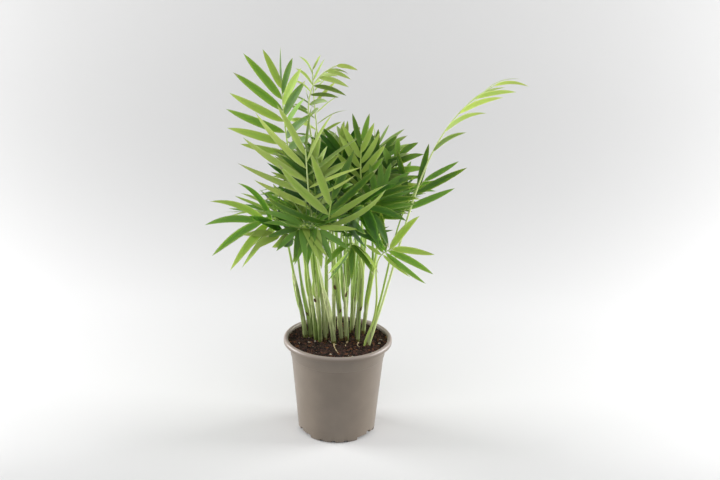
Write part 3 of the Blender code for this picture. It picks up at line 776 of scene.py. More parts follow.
def unit_blade(add, rows):
    """A closed blade of unit length: a grid wrapped round its midrib, whose sides meet along the margins."""
    grid = add(
        "GeometryNodeMeshGrid",
        {"Size X": 1, "Size Y": 1, "Vertices X": rows, "Vertices Y": BLADE_COLUMNS},
    )
    spot = add("ShaderNodeSeparateXYZ", {0: add("GeometryNodeInputPosition")}).outputs
    along = add("ShaderNodeMath", {0: spot["X"], 1: 0.5}, operation="ADD")

    # Across the blade from 1 at one margin to -1 at the other, once over its midrib and once under it
    wrap = add("ShaderNodeMath", {0: spot["Y"]}, operation="ABSOLUTE")
    across = add("ShaderNodeMath", {0: wrap, 1: -4, 2: 1}, operation="MULTIPLY_ADD")
    half = add("ShaderNodeFloatCurve", {"Value": along})
    curve = half.mapping.curves[0]
    for number, (share, width) in enumerate(OUTLINE):
        point = curve.points.new(share, width) if 0 < share < 1 else curve.points[-1 if number else 0]
        point.location = (share, width)
    half.mapping.update()

    # Thickest at the midrib and none at the margins
    level = add("ShaderNodeMath", {0: across, 1: across, 2: -1}, operation="MULTIPLY_ADD")
    side = add("ShaderNodeMath", {0: spot["Y"]}, operation="SIGN")
    depth = add("ShaderNodeMath", {0: level, 1: side}, operation="MULTIPLY")
    breadth = add("ShaderNodeMath", {0: across, 1: half}, operation="MULTIPLY")
    height = add("ShaderNodeMath", {0: depth, 1: half}, operation="MULTIPLY")
    unit = add("ShaderNodeCombineXYZ", {"X": along, "Y": breadth, "Z": height})
    crosswise = add("ShaderNodeMath", {0: across, 1: 0.5, 2: 0.5}, operation="MULTIPLY_ADD")
    sheet = add("ShaderNodeCombineXYZ", {"X": along, "Y": crosswise})
    below = add("FunctionNodeCompare", {0: spot["Y"], 1: 0.0}, operation="GREATER_THAN")
    blade = grid
    for label, value, kind, domain in (
        (LEAF_UV, sheet, "FLOAT2", "CORNER"),
        ("below", below, "BOOLEAN", "FACE"),
        ("blade", unit, "FLOAT_VECTOR", "POINT"),
    ):
        blade = add(
            "GeometryNodeStoreNamedAttribute", {"Geometry": blade, "Name": label, "Value": value},
            data_type=kind, domain=domain,
        )
    blade = add("GeometryNodeSetPosition", {"Geometry": blade, "Position": unit})
    return add("GeometryNodeMergeByDistance", {"Geometry": blade, "Distance": BLADE_WELD})


def unfolded(add, given, blade):
    """A blade on every point, unfolded by the point's measures, and how far along a blade each spot is."""
    placed = add(
        "GeometryNodeInstanceOnPoints", {"Points": given["Geometry"], "Instance": blade, "Scale": (0, 0, 0)}
    )
    joined = add("GeometryNodeRealizeInstances", {"Geometry": placed})
    run, across, size, bend, unit = (
        add("GeometryNodeInputNamedAttribute", {"Name": name}, data_type="FLOAT_VECTOR")
        for name in ("run", "across", "size", "bend", "blade")
    )
    size, bend, unit = (add("ShaderNodeSeparateXYZ", {0: vector}).outputs for vector in (size, bend, unit))
    share, breadth, lift = (unit[axis] for axis in "XYZ")
    turn = add("ShaderNodeMath", {0: bend["Z"], 1: share}, operation="MULTIPLY")
    wide = add("ShaderNodeVectorRotate", {"Vector": across, "Axis": run, "Angle": turn})
    over = add("ShaderNodeVectorMath", {0: run, 1: wide}, operation="CROSS_PRODUCT")

    # How far each point of a blade goes along its run, across it, over it and down
    forward = add("ShaderNodeMath", {0: share, 1: size["X"]}, operation="MULTIPLY")
    sideways = add("ShaderNodeMath", {0: breadth, 1: size["Y"]}, operation="MULTIPLY")
    margin = add("ShaderNodeMath", {0: sideways}, operation="ABSOLUTE")
    cambered = add("ShaderNodeMath", {0: margin, 1: given["Camber"]}, operation="MULTIPLY")
    thick = add("ShaderNodeMath", {0: lift, 1: given["Thickness"], 2: cambered}, operation="MULTIPLY_ADD")
    square = add("ShaderNodeMath", {0: share, 1: 2}, operation="POWER")
    cube = add("ShaderNodeMath", {0: share, 1: 3}, operation="POWER")
    hump = add("ShaderNodeMath", {0: share, 1: square}, operation="SUBTRACT")
    arched = add("ShaderNodeMath", {0: hump, 1: bend["X"]}, operation="MULTIPLY")
    curled = add("ShaderNodeMath", {0: cube, 1: bend["Y"], 2: arched}, operation="MULTIPLY_ADD")
    raised = add("ShaderNodeMath", {0: curled, 1: size["X"], 2: thick}, operation="MULTIPLY_ADD")
    sunk = add("ShaderNodeMath", {0: square, 1: size["Z"]}, operation="MULTIPLY")
    moves = add("ShaderNodeVectorMath", {0: run, "Scale": forward}, operation="SCALE")
    for axis, amount in ((wide, sideways), (over, raised), ((0, 0, -1), sunk)):
        step = add("ShaderNodeVectorMath", {0: axis, "Scale": amount}, operation="SCALE")
        moves = add("ShaderNodeVectorMath", {0: moves, 1: step}, operation="ADD")
    return add("GeometryNodeSetPosition", {"Geometry": joined, "Offset": moves}), share


def leaflet_tree():
    """Leaflets on points: a closed blade is shrunk onto each point and unfolded by the point's measures.

    The points carry run and across, size (length, half width, sag), bend (arch, curl, turn), shade and dry.
    """
    tree, add, given, leave = new_tree(
        "Leaflets",
        Int=["Rows"],
        Float=["Thickness", "Camber", "Fresh From", "Deep Below"],
        Material=["Upper", "Fresh", "Deep", "Underside", "Dry Tip"],
    )
    blades, share = unfolded(add, given, unit_blade(add, given["Rows"]))
    smooth = add("GeometryNodeSetShadeSmooth", {"Geometry": blades})
    shade = add("GeometryNodeInputNamedAttribute", {"Name": "shade"}, data_type="FLOAT")
    dry = add("GeometryNodeInputNamedAttribute", {"Name": "dry"}, data_type="FLOAT")
    dealt = {
        "Fresh": add("FunctionNodeCompare", {0: shade, 1: given["Fresh From"]}, operation="GREATER_THAN"),
        "Deep": add("FunctionNodeCompare", {0: shade, 1: given["Deep Below"]}, operation="LESS_THAN"),
        "Underside": add("GeometryNodeInputNamedAttribute", {"Name": "below"}, data_type="BOOLEAN"),
        "Dry Tip": add("FunctionNodeCompare", {0: share, 1: dry}, operation="GREATER_THAN"),
    }
    wire(leave, {0: painted(add, smooth, given, "Upper", dealt)})
    return tree


def stem_tree():
    """Stems along edges: each chain of edges becomes a round closed stem, as thick as its points say."""
    tree, add, given, leave = new_tree(
        "Stems", Int=["Sides"], Float=["Relief", "Foot Height"], Material=["Skin", "Foot"]
    )
    girth = add("GeometryNodeInputNamedAttribute", {"Name": "girth"}, data_type="FLOAT")
    path = add("GeometryNodeMeshToCurve", {"Mesh": given["Geometry"]})
    ring = add("GeometryNodeCurvePrimitiveCircle", {"Resolution": given["Sides"], "Radius": 1})
    stem = add(
        "GeometryNodeCurveToMesh", {"Curve": path, "Profile Curve": ring, "Scale": girth, "Fill Caps": True}
    )
    place = add("GeometryNodeInputPosition")
    drawn = add("ShaderNodeVectorMath", {0: place, 1: (1, 1, 0.1)}, operation="MULTIPLY")
    ribs = add("ShaderNodeTexNoise", {"Vector": drawn, "Scale": STEM_RIBS, "Detail": 1})
    height = add("ShaderNodeMath", {0: ribs, 1: 0.5}, operation="SUBTRACT")
    height = add("ShaderNodeMath", {0: height, 1: given["Relief"]}, operation="MULTIPLY")
    outward = add("GeometryNodeInputNormal")
    offset = add("ShaderNodeVectorMath", {0: outward, "Scale": height}, operation="SCALE")
    ribbed = add("GeometryNodeSetPosition", {"Geometry": stem, "Offset": offset})
    smooth = add("GeometryNodeSetShadeSmooth", {"Geometry": ribbed})
    level = add("ShaderNodeSeparateXYZ", {0: place}).outputs["Z"]
    ragged = add("ShaderNodeMath", {0: ribs, 1: -FOOT_RAGGED, 2: level}, operation="MULTIPLY_ADD")
    low = add("FunctionNodeCompare", {0: ragged, 1: given["Foot Height"]}, operation="LESS_THAN")
    wire(leave, {0: painted(add, smooth, given, "Skin", {"Foot": low})})
    return tree


def crumb_tree():
    """Crumbs strewn over a surface: torn shards of four kinds, from dark peat to a few pale specks."""
    tree, add, given, leave = new_tree(
        "Crumbs",
        Int=["Seed"],
        Float=["Density"],
        Vector=["Least Size", "Greatest Size"],
        Material=["Peat", "Bark", "Fibre", "Speck"],
    )
    spread = add(
        "GeometryNodeDistributePointsOnFaces",
        {"Mesh": given["Geometry"], "Density": given["Density"], "Seed": given["Seed"]},
    )
    size = add(
        "FunctionNodeRandomValue",
        {0: given["Least Size"], 1: given["Greatest Size"], "Seed": given["Seed"]},
        data_type="FLOAT_VECTOR",
    )
    turn = add(
        "FunctionNodeRandomValue",
        {0: (-CRUMB_TILT, -CRUMB_TILT, 0), 1: (CRUMB_TILT, CRUMB_TILT, math.tau), "Seed": TURN_SEED},
        data_type="FLOAT_VECTOR",
    )
    kind = add("FunctionNodeRandomValue", {2: 0.0, 3: 1.0, "Seed": KIND_SEED}, data_type="FLOAT")
    shard = add("GeometryNodeMeshIcoSphere", {"Radius": 1, "Subdivisions": 1})
    sown = add(
        "GeometryNodeInstanceOnPoints",
        {"Points": spread, "Instance": shard, "Rotation": turn, "Scale": size},
    )
    marked = add(
        "GeometryNodeStoreNamedAttribute", {"Geometry": sown, "Name": "kind", "Value": kind.outputs[1]},
        data_type="FLOAT", domain="INSTANCE",
    )
    joined = add("GeometryNodeRealizeInstances", {"Geometry": marked})
    place = add("GeometryNodeInputPosition")
    torn = add("ShaderNodeTexNoise", {"Vector": place, "Scale": CRUMB_TEARS, "Detail": 1}).outputs["Color"]
    pull = add("ShaderNodeVectorMath", {0: torn, 1: (0.5, 0.5, 0.5)}, operation="SUBTRACT")
    pull = add("ShaderNodeVectorMath", {0: pull, "Scale": CRUMB_TEAR}, operation="SCALE")
    rough = add("GeometryNodeSetPosition", {"Geometry": joined, "Offset": pull})
    flat = add("GeometryNodeSetShadeSmooth", {"Geometry": rough, "Shade Smooth": False})
    chosen = add("GeometryNodeInputNamedAttribute", {"Name": "kind"}, data_type="FLOAT")
    dealt = {
        slot: add("FunctionNodeCompare", {0: chosen, 1: start}, operation="GREATER_THAN")
        for slot, start in CRUMB_KINDS
    }
    wire(leave, {0: painted(add, flat, given, "Peat", dealt)})
    return tree


def tree_named(name, make):
    """The node tree of that name, made the first time that it is asked for."""
    return bpy.data.node_groups.get(name) or make()


def new_object(name, data):
    """An object of a mesh, a light or a camera, in the scene."""
    obj = bpy.data.objects.new(name, data)
    bpy.context.scene.collection.objects.link(obj)
    return obj


def marked_points(name, places, edges, marks):
    """An object of points and edges, with a named list of numbers or vectors for its points."""
    mesh = bpy.data.meshes.new(name)
    mesh.from_pydata([tuple(place) for place in places], edges, [])
    for label, values in marks.items():
        vectors = hasattr(values[0], "__len__")
        layer = mesh.attributes.new(label, "FLOAT_VECTOR" if vectors else "FLOAT", "POINT")
        flat = [number for value in values for number in value] if vectors else values
        layer.data.foreach_set("vector" if vectors else "value", flat)
    return new_object(name, mesh)


def blade_points(name, blades):
    """Points for the leaflet tree, from leaflets that each come with a bend, a shade and a dryness."""
    measures = [
        (leaf.run, leaf.across, (leaf.length, leaf.width / 2, leaf.sag), bend, shade, dry)
        for leaf, bend, shade, dry in blades
    ]
    marks = dict(zip(("run", "across", "size", "bend", "shade", "dry"), zip(*measures)))
    return marked_points(name, [leaf.root for leaf, *_ in blades], [], marks)


def chained(name, chains):
    """Chains of edges for the stem tree, each a list of places and girths."""
    places, edges, girths = [], [], []
    for chain in chains:
        start = len(places)
        edges += [(start + step, start + step + 1) for step in range(len(chain) - 1)]
        places += [place for place, _ in chain]
        girths += [girth for _, girth in chain]
    return marked_points(name, places, edges, {"girth": girths})


def grown(obj, tree, inputs):
    """Gives an object a node tree's geometry, with the tree's named inputs set, as plain mesh."""
    grow = obj.modifiers.new(tree.name, "NODES")
    grow.node_group = tree
    for item in tree.interface.items_tree:
        if item.in_out == "INPUT" and item.name in inputs:
            grow[item.identifier] = inputs[item.name]
    graph = bpy.context.evaluated_depsgraph_get()
    mesh = bpy.data.meshes.new_from_object(obj.evaluated_get(graph))
    obj.modifiers.remove(grow)
    seed, obj.data = obj.data, mesh
    bpy.data.meshes.remove(seed)
    mesh.name = obj.name
    for label in HELPERS:
        if label in mesh.attributes:
            mesh.attributes.remove(mesh.attributes[label])
    mesh.set_sharp_from_angle(angle=math.radians(SHARP_ANGLE))
    return obj


def finished(obj, nodes=()):
    """Puts a piece on the root body, where it rides, and hides the nodes that it stands for."""
    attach(obj, "root")
    if nodes:
        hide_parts(*nodes)
    return obj


def wall_radius(height):
    """Outer radius of the pot's plain tapering wall."""
    return FOOT_RADIUS + (TOP_RADIUS - FOOT_RADIUS) * height / POT_HEIGHT


def compost_radius(height):
    """Radius of the root ball, a hair inside the pot's wall and its flare."""
    if height < FLARE_FOOT:
        return wall_radius(height) - WALL - COMPOST_GAP
    foot = wall_radius(FLARE_FOOT) + COLLAR_STEP - WALL
    return foot + (RIM_RADIUS - foot) * (height - FLARE_FOOT) / (FLARE_TOP - FLARE_FOOT) - COMPOST_GAP


def compost_top(radius):
    """Height of the compost at a distance from the pot's axis: it rises a little to the rim."""
    return COMPOST_HEIGHT + COMPOST_RISE * (radius / RIM_RADIUS) ** 2


def arc(centre, radius, first, last, steps):
    """Points of a rounded corner in a (radius, height) profile, between two angles in degrees."""
    points = []
    for step in range(steps + 1):
        angle = math.radians(first + (last - first) * step / steps)
        points.append((centre[0] + radius * math.cos(angle), centre[1] + radius * math.sin(angle)))
    return points


def turned(name, profile, sides):
    """A mesh turned about the pot's axis from a (radius, height) profile, closed if that ends on the axis."""
    bm = bmesh.new()
    corners = [bm.verts.new((radius, 0, height)) for radius, height in profile]
    edges = [bm.edges.new(pair) for pair in zip(corners, corners[1:])]
    bmesh.ops.spin(
        bm, geom=corners + edges, cent=(0, 0, 0), axis=UP, angle=math.tau, steps=sides, use_merge=True
    )
    bmesh.ops.remove_doubles(bm, verts=bm.verts, dist=WELD)
    bmesh.ops.recalc_face_normals(bm, faces=bm.faces)
    mesh = bpy.data.meshes.new(name)
    bm.to_mesh(mesh)
    bm.free()
    return new_object(name, mesh)


def pot_profile(steps):
    """The shell's section with its roundings: inside, lip with its skirt, outside and ring of the feet."""
    floor = FLOOR_HEIGHT + WALL
    collar = POT_HEIGHT - COLLAR_DEPTH
    lip_foot = POT_HEIGHT - LIP_DEPTH
    flare = wall_radius(FLARE_FOOT) + COLLAR_STEP
    ring = wall_radius(0) - CORNER_ROUND
    inside = [
        (0, floor),
        (wall_radius(floor) - WALL, floor),
        (wall_radius(collar) - WALL, collar),
        (wall_radius(collar) + COLLAR_STEP - WALL, collar + COLLAR_STEP),
        (flare - WALL, FLARE_FOOT),
        (RIM_RADIUS, FLARE_TOP),
    ]
    lip = (
        arc((RIM_RADIUS + LIP_EASE, POT_HEIGHT - LIP_EASE), LIP_EASE, 180, 90, 2 * steps)
        + arc((LIP_RADIUS - LIP_ROUND, POT_HEIGHT - LIP_ROUND), LIP_ROUND, 90, 0, 2 * steps)
        + arc((LIP_RADIUS - EDGE_ROUND, lip_foot + EDGE_ROUND), EDGE_ROUND, 0, -90, steps)
        + arc((LIP_RADIUS - WALL + EDGE_ROUND, lip_foot + EDGE_ROUND), EDGE_ROUND, -90, -180, steps)
        + [(LIP_RADIUS - WALL, POT_HEIGHT - BRIDGE), (RIM_RADIUS + WALL, POT_HEIGHT - BRIDGE)]
        + [(RIM_RADIUS + WALL, FLARE_TOP - WALL / 2), (flare, FLARE_FOOT - WALL / 2)]
    )
    outside = [
        (wall_radius(collar) + COLLAR_STEP, collar + EDGE_ROUND),
        (wall_radius(collar) + COLLAR_STEP - EDGE_ROUND / 2, collar),
        (wall_radius(collar), collar - COLLAR_STEP),
    ] + arc((ring, CORNER_ROUND), CORNER_ROUND, 0, -90, 2 * steps)
    underside = [
        (ring - FOOT_RING_WIDTH, 0),
        (ring - FOOT_RING_WIDTH, FLOOR_HEIGHT),
        (CENTRE_PAD_RADIUS, FLOOR_HEIGHT),
        (CENTRE_PAD_RADIUS, 0),
        (0, 0),
    ]
    return inside + lip + outside + underside


def sector(inner, outer, arc_degrees, top, bearing, collection):
    """A cutter that spans an arc of the pot's underside between two radii, from below up to a height."""
    steps = max(1, round(arc_degrees / CUTTER_STEP))
    rim = [direction(bearing + arc_degrees * (step / steps - 0.5)) for step in range(steps + 1)]
    outline = [side * outer for side in rim] + [side * inner for side in reversed(rim)]
    count = len(outline)
    points = [point - UP * WALL for point in outline] + [point + UP * top for point in outline]
    faces = [tuple(reversed(range(count))), tuple(range(count, 2 * count))]
    faces += [(i, (i + 1) % count, (i + 1) % count + count, i + count) for i in range(count)]
    mesh = bpy.data.meshes.new("cutter")
    mesh.from_pydata([tuple(point) for point in points], [], faces)
    collection.objects.link(bpy.data.objects.new("cutter", mesh))


def cut_underside(pot):
    """Cuts the gaps between the pot's three feet, their drains, and the notches under each foot."""
    cutters = bpy.data.collections.new("Cutters")
    bpy.context.scene.collection.children.link(cutters)
    ring = wall_radius(0) - CORNER_ROUND
    inner, outer = ring - FOOT_RING_WIDTH - WALL, wall_radius(0) + 2 * WALL
    drain_arc = math.degrees(DRAIN_WIDTH / wall_radius(0))
    notch_arc = math.degrees(NOTCH_WIDTH / wall_radius(0))
    for foot in range(FEET):
        middle = FRONT_FOOT_BEARING + 360 / FEET * foot
        gap = middle + 180 / FEET
        sector(inner, outer, FOOT_GAP_ARC, GAP_TOP, gap, cutters)
        sector(wall_radius(0) - DRAIN_REACH, outer, drain_arc, DRAIN_TOP, gap, cutters)
        for bearing in NOTCH_BEARINGS:
            sector(inner, outer, notch_arc, NOTCH_HEIGHT, middle + bearing, cutters)
    cut = pot.modifiers.new("Underside", "BOOLEAN")
    cut.operation = "DIFFERENCE"
    cut.operand_type = "COLLECTION"
    cut.collection = cutters
    graph = bpy.context.evaluated_depsgraph_get()
    pot.data = bpy.data.meshes.new_from_object(pot.evaluated_get(graph))
    pot.modifiers.remove(cut)
    for cutter in list(cutters.objects):
        bpy.data.objects.remove(cutter)
    bpy.data.collections.remove(cutters)


def build_pot(settings):
    """The nursery pot."""
    pot = turned("nursery_pot", pot_profile(settings.corner_steps), settings.sides)
    cut_underside(pot)
    pot.data.shade_smooth()
    pot.data.set_sharp_from_angle(angle=math.radians(SHARP_ANGLE))
    pot.data.materials.append(moulded_polypropylene(settings))
    return finished(pot, ["pot"])


def build_compost(settings):
    """The root ball with a lumpy top, and the crumbs that lie on it."""
    floor = FLOOR_HEIGHT + WALL + COMPOST_GAP
    edge = compost_radius(COMPOST_HEIGHT + COMPOST_RISE)
    rings = [edge * step / settings.rings for step in range(settings.rings, -1, -1)]
    collar = POT_HEIGHT - COLLAR_DEPTH
    profile = [(0, floor)] + [(compost_radius(height), height) for height in (floor, collar, FLARE_FOOT)]
    profile += [(radius, compost_top(radius)) for radius in rings]
    compost = turned("compost_ball", profile, settings.sides)
    for vertex in compost.data.vertices:
        out = math.hypot(vertex.co.x, vertex.co.y)
        if vertex.co.z > COMPOST_HEIGHT / 2 and out < edge * FIRM_EDGE:
            place = vertex.co * settings.lump_scale
            lump = noise.fractal(place, LUMP_ROUGHNESS, LUMP_STEP, LUMP_OCTAVES)
            vertex.co.z += lump * settings.lump_height
    compost.data.shade_smooth()
    compost.data.materials.append(damp_compost(settings))
    finished(compost, ["compost"])

    bed = turned("compost_crumbs", [(radius, compost_top(radius)) for radius in rings], settings.sides)
    kinds = {
        "Peat": crumb_material("Peat crumb", linear("#1d120c"), 0.95),
        "Bark": crumb_material("Bark shard", linear("#50322a"), 0.85),
        "Fibre": crumb_material("Coir fibre", linear("#7a4d2c"), 0.8),
        "Speck": crumb_material("Perlite speck", linear("#c9c2b0"), 0.8),
    }
    sizes = {"Least Size": settings.least_crumb, "Greatest Size": settings.greatest_crumb}
    spread = {"Density": settings.density, "Seed": SEED}
    grown(bed, tree_named("Crumbs", crumb_tree), {**spread, **sizes, **kinds})
    return finished(bed)


def shoot_girth(shoot, share, height, rims):
    """Radius of a shoot at a share of its height: a slow taper, swollen sheath rims and a closing mouth."""
    girth = (shoot.radius + (MOUTH_RADIUS - shoot.radius) * share) * MM
    for rim in rims:
        below = (rim - share) * height
        if below >= 0:
            girth += SHEATH_SWELL * math.exp(-below / SHEATH_FADE)
    left = (1 - share) * height
    if left < MOUTH_LENGTH:
        girth *= MOUTH_CLOSED + (1 - MOUTH_CLOSED) * math.sin(math.pi / 2 * left / MOUTH_LENGTH)
    return girth


def shoot_chain(number, spacing):
    """Places and girths up a shoot, from a little under the compost to its mouth."""
    shoot = SHOOTS[number]
    rng = random.Random(f"{SEED} shoot {number}")
    rims = [FIRST_RIM + RIM_STEP * rim + rng.uniform(-RIM_JITTER, RIM_JITTER) for rim in range(SHEATH_RIMS)]
    controls = shoot_curve(shoot)
    controls[0] = controls[0] - UP * SHOOT_SUNK
    height = (controls[-1] - controls[0]).length
    count = round(height / spacing)
    shares = [step / count for step in range(count + 1)]
    return [(bezier(controls, share), shoot_girth(shoot, share, height, rims)) for share in shares]


def build_shoots(settings):
    """Every shoot, ribbed and ringed with the rims of its sheaths."""
    numbers = range(len(SHOOTS))
    shoots = chained("shoots", [shoot_chain(number, settings.spacing) for number in numbers])
    grown(
        shoots,
        tree_named("Stems", stem_tree),
        {
            "Sides": settings.sides,
            "Relief": settings.relief,
            "Foot Height": COMPOST_HEIGHT + settings.foot,
            "Skin": shoot_skin("Shoot sheath", settings.sheath, settings.old_sheath),
            "Foot": shoot_skin("Shoot foot", settings.brown_foot, settings.old_sheath),
        },
    )
    return finished(shoots, [f"shoot_{number:02d}" for number in numbers])


def root_chain(bends):
    """Places and girths along a root that lies on the compost."""
    first, middle, last = (Vector((x, y, 0)) * MM for x, y in bends)
    controls = [first, first.lerp(middle, ROOT_LEAD), middle.lerp(last, ROOT_TRAIL), last]
    chain = []
    for step in range(ROOT_STEPS + 1):
        share = step / ROOT_STEPS
        place = bezier(controls, share)
        place.z = compost_top(math.hypot(place.x, place.y)) + ROOT_RADIUS * ROOT_RISE
        chain.append((place, ROOT_RADIUS * (1 - ROOT_TAPER * share)))
    return chain


def build_roots(settings):
    """Pale roots that run over the compost in front."""
    roots = chained("surface_roots", [root_chain(bends) for bends in ROOTS])
    looks = {"Relief": settings.relief, "Skin": rachis_skin("Young root", linear("#c9b48a"))}
    grown(roots, tree_named("Stems", stem_tree), {"Sides": settings.root_sides, **looks})
    return finished(roots)


def build_sheaths(settings):
    """Dry brown sheaths that stand off the shoots."""
    blades = []
    for number, share, bearing, length in SHEATHS:
        controls = shoot_curve(SHOOTS[number])
        run = heading(controls, share)
        out = direction(bearing)
        out = (out - run * out.dot(run)).normalized()
        root = bezier(controls, share) + out * SHOOTS[number].radius * SHEATH_SEAT * MM
        lean = (run + out * SHEATH_LEAN).normalized()
        sheath = Leaflet(root, lean, run.cross(out).normalized(), length * MM, SHEATH_WIDTH, 0)
        blades.append((sheath, SHEATH_BEND, 0, ALL_DRY))
    sheaths = blade_points("dry_sheaths", blades)
    husk = crumb_material("Dry sheath", linear("#5c4426"), 0.7)
    sizes = {"Rows": settings.rows, "Thickness": settings.thickness / 2, "Camber": SHEATH_CAMBER}
    looks = {"Fresh From": 1.0, "Upper": husk, "Underside": husk, "Dry Tip": husk}
    grown(sheaths, tree_named("Leaflets", leaflet_tree), {**sizes, **looks})
    return finished(sheaths)


def petiole_foot(frond, foot, settings):
    """The lowest stretch of a petiole, which leaves the middle of its shoot and runs up it to its fork."""
    rng = random.Random(f"{SEED} {frond.name} tuck")
    shoot = shoot_curve(SHOOTS[frond.shoot])
    depth = rng.uniform(settings.least_tuck, settings.greatest_tuck) / (shoot[-1] - shoot[0]).length
    run = heading(shoot, 1)
    aside = foot - shoot[-1]
    out = aside - run * aside.dot(run)
    if out.length < PETIOLE_GAP:
        out = direction(rng.uniform(0, 360))
    reach = out.normalized() * SHOOTS[frond.shoot].radius * MM
    path = []
    for step in range(TUCK_STEPS):
        share = step / TUCK_STEPS
        late = share**TUCK_POWER
        bow = math.sin(math.pi / 2 * min(1, share * TUCK_RISE)) * (1 - late)
        path.append(bezier(shoot, 1 - depth * (1 - share)) + reach * bow + aside * late)
    return path


def rachis_chain(frond, fronds, settings):
    """Places and girths of a rachis, from inside its shoot to its tip."""
    foot, run = frond_foot(frond, fronds)
    controls = frond_curve(frond, foot, run)
    tucked = petiole_foot(frond, foot, settings)
    path = tucked + [bezier(controls, step / settings.steps) for step in range(settings.steps + 1)]
    chain = []
    for step, place in enumerate(path):
        share = max(0, step - len(tucked)) / settings.steps
        chain.append((place, PETIOLE_RADIUS + (RACHIS_TIP_RADIUS - PETIOLE_RADIUS) * share))
    return chain


def build_rachises(settings, tint):
    """The rachises of every frond of a tint."""
    fronds = all_fronds()
    chains = [rachis_chain(frond, fronds, settings) for frond in fronds if frond.tint == tint]
    rachises = chained(f"rachises_{tint}", chains)
    skin = rachis_skin(f"Rachis {tint}", getattr(settings, tint))
    grown(rachises, tree_named("Stems", stem_tree), {"Sides": settings.sides, "Relief": 0.0, "Skin": skin})
    return finished(rachises)


def feathered(frond):
    """A frond as it is drawn here, where the greener, fuller ones carry more and narrower leaflets."""
    row = frond.leaflets
    if frond.tint not in FINE_TINTS or row.pairs < FINE_FROM:
        return frond
    finer = row._replace(pairs=round(row.pairs * FINE_PAIRS), width=row.width * FINE_WIDTH)
    return frond._replace(leaflets=finer)


def shade_drawn(chance, frond, place):
    """A leaflet's place among the shades of green: deep ones gather inside the crown, partly older leaflets
    and partly painted shade, and fresh ones on top, partly younger leaflets and partly painted light from
    above.
    """
    if frond.tint not in FINE_TINTS:
        return chance
    if (place - Vector(CROWN_CORE)).length < CORE_RADIUS:
        return chance * CORE_SHADE
    return chance**TOP_LIFT if place.z > CROWN_TOP else chance


def frond_blades(frond, fronds, settings):
    """The leaflets of a frond, each with a seeded bend, shade and dryness."""
    controls = frond_curve(frond, *frond_foot(frond, fronds))
    rng = random.Random(f"{SEED} {frond.name}")
    looks = random.Random(f"{SEED} {frond.name} looks")
    drawn = feathered(frond)
    blades = []
    for number in range(2 * drawn.leaflets.pairs):
        draws = (
            1 + rng.uniform(-LENGTH_JITTER, LENGTH_JITTER),
            rng.uniform(-ANGLE_JITTER, ANGLE_JITTER),
            rng.uniform(-TWIST_JITTER, TWIST_JITTER),
        )
        leaflet = leaflet_of(drawn, controls, number, draws)
        bend = (
            looks.uniform(0, 2 * settings.arch),
            looks.uniform(-settings.curl, settings.curl),
            looks.uniform(-settings.turn, settings.turn),
        )
        shade = shade_drawn(looks.random(), frond, leaflet.root)
        blades.append((leaflet, bend, shade, looks.uniform(*DRY_FROM)))
    return blades


def build_leaflets(settings, tint):
    """The leaflets of every frond of a tint."""
    fronds = all_fronds()
    chosen = [frond for frond in fronds if frond.tint == tint]
    blades = [blade for frond in chosen for blade in frond_blades(frond, fronds, settings)]
    leaflets = blade_points(f"leaflets_{tint}", blades)
    colour = getattr(settings, tint)
    looks = {"Upper": leaf_skin(f"Leaflet {tint}", colour, UPPER_ROUGHNESS)}
    for slot, face, other, share, roughness in LEAF_FACES:
        looks[slot] = leaf_skin(f"Leaflet {tint} {face}", blended(colour, linear(other), share), roughness)
    grown(
        leaflets,
        tree_named("Leaflets", leaflet_tree),
        {
            "Rows": settings.rows,
            "Thickness": settings.thickness / 2,
            "Camber": settings.camber,
            "Fresh From": 1 - settings.fresh,
            "Deep Below": settings.deep,
            **looks,
        },
    )
    return finished(leaflets, [frond.name for frond in chosen])


def build_backdrop(settings):
    """A pale floor that curls up behind the pot, low enough to look over from behind."""
    start, radius = settings.sweep_start, settings.sweep_radius
    bend = arc((start, radius), radius, -90, SWEEP_ARC - 90, SWEEP_STEPS)
    profile = [(BACKDROP_FRONT, 0.0)] + bend
    points = [(side * BACKDROP_WIDTH / 2, y, z) for y, z in profile for side in (-1, 1)]
    faces = [(2 * step, 2 * step + 1, 2 * step + 3, 2 * step + 2) for step in range(len(profile) - 1)]
    mesh = bpy.data.meshes.new("backdrop")
    mesh.from_pydata(points, [], faces)
    mesh.shade_smooth()
    mesh.materials.append(paper_sweep())
    backdrop = new_object("backdrop", mesh)
    return backdrop


def soft_light(name, place, size, power):
    """A square area light at a place, turned to the plant and out of any camera's sight."""
    lamp = bpy.data.lights.new(name, "AREA")
    lamp.shape = "SQUARE"
    lamp.size = size
    lamp.energy = power
    light = new_object(name, lamp)
    light.location = place
    light.visible_camera = False
    light.rotation_euler = (Vector(LIGHT_AIM) - Vector(place)).to_track_quat("-Z", "Y").to_euler()
    return light


def build_lights(settings):
    """A wide light overhead, a smaller one at each side, and an even grey surround."""
    soft_light("overhead", OVERHEAD_PLACE, OVERHEAD_SIZE, settings.overhead_power)
    for side in (-1, 1):
        soft_light("side", (side * SIDE_PLACE[0], *SIDE_PLACE[1:]), SIDE_SIZE, settings.side_power)
    world = bpy.data.worlds.new("Studio")
    world.use_nodes = True
    wire(world.node_tree.nodes["Background"], {"Color": (1, 1, 1, 1), "Strength": settings.surround})
    bpy.context.scene.world = world
    bpy.context.scene.view_settings.view_transform = "Standard"


def build_camera():
    """The camera, a little above the plant and looking down at it."""
    lens = bpy.data.cameras.new("camera")
    lens.sensor_width = SENSOR_WIDTH
    lens.lens = LENS
    camera = new_object("camera", lens)
    camera.matrix_world = (
        Matrix.Translation(CAMERA_PLACE)
        @ Matrix.Rotation(math.radians(90 - CAMERA_PITCH), 4, "X")
        @ Matrix.Rotation(math.radians(CAMERA_ROLL), 4, "Z")
    )
    bpy.context.scene.camera = camera


def length_property(name, description, default):
    """A length, kept in metres."""
    return bpy.props.FloatProperty(
        name=name, description=description, default=default, subtype="DISTANCE", unit="LENGTH"
    )


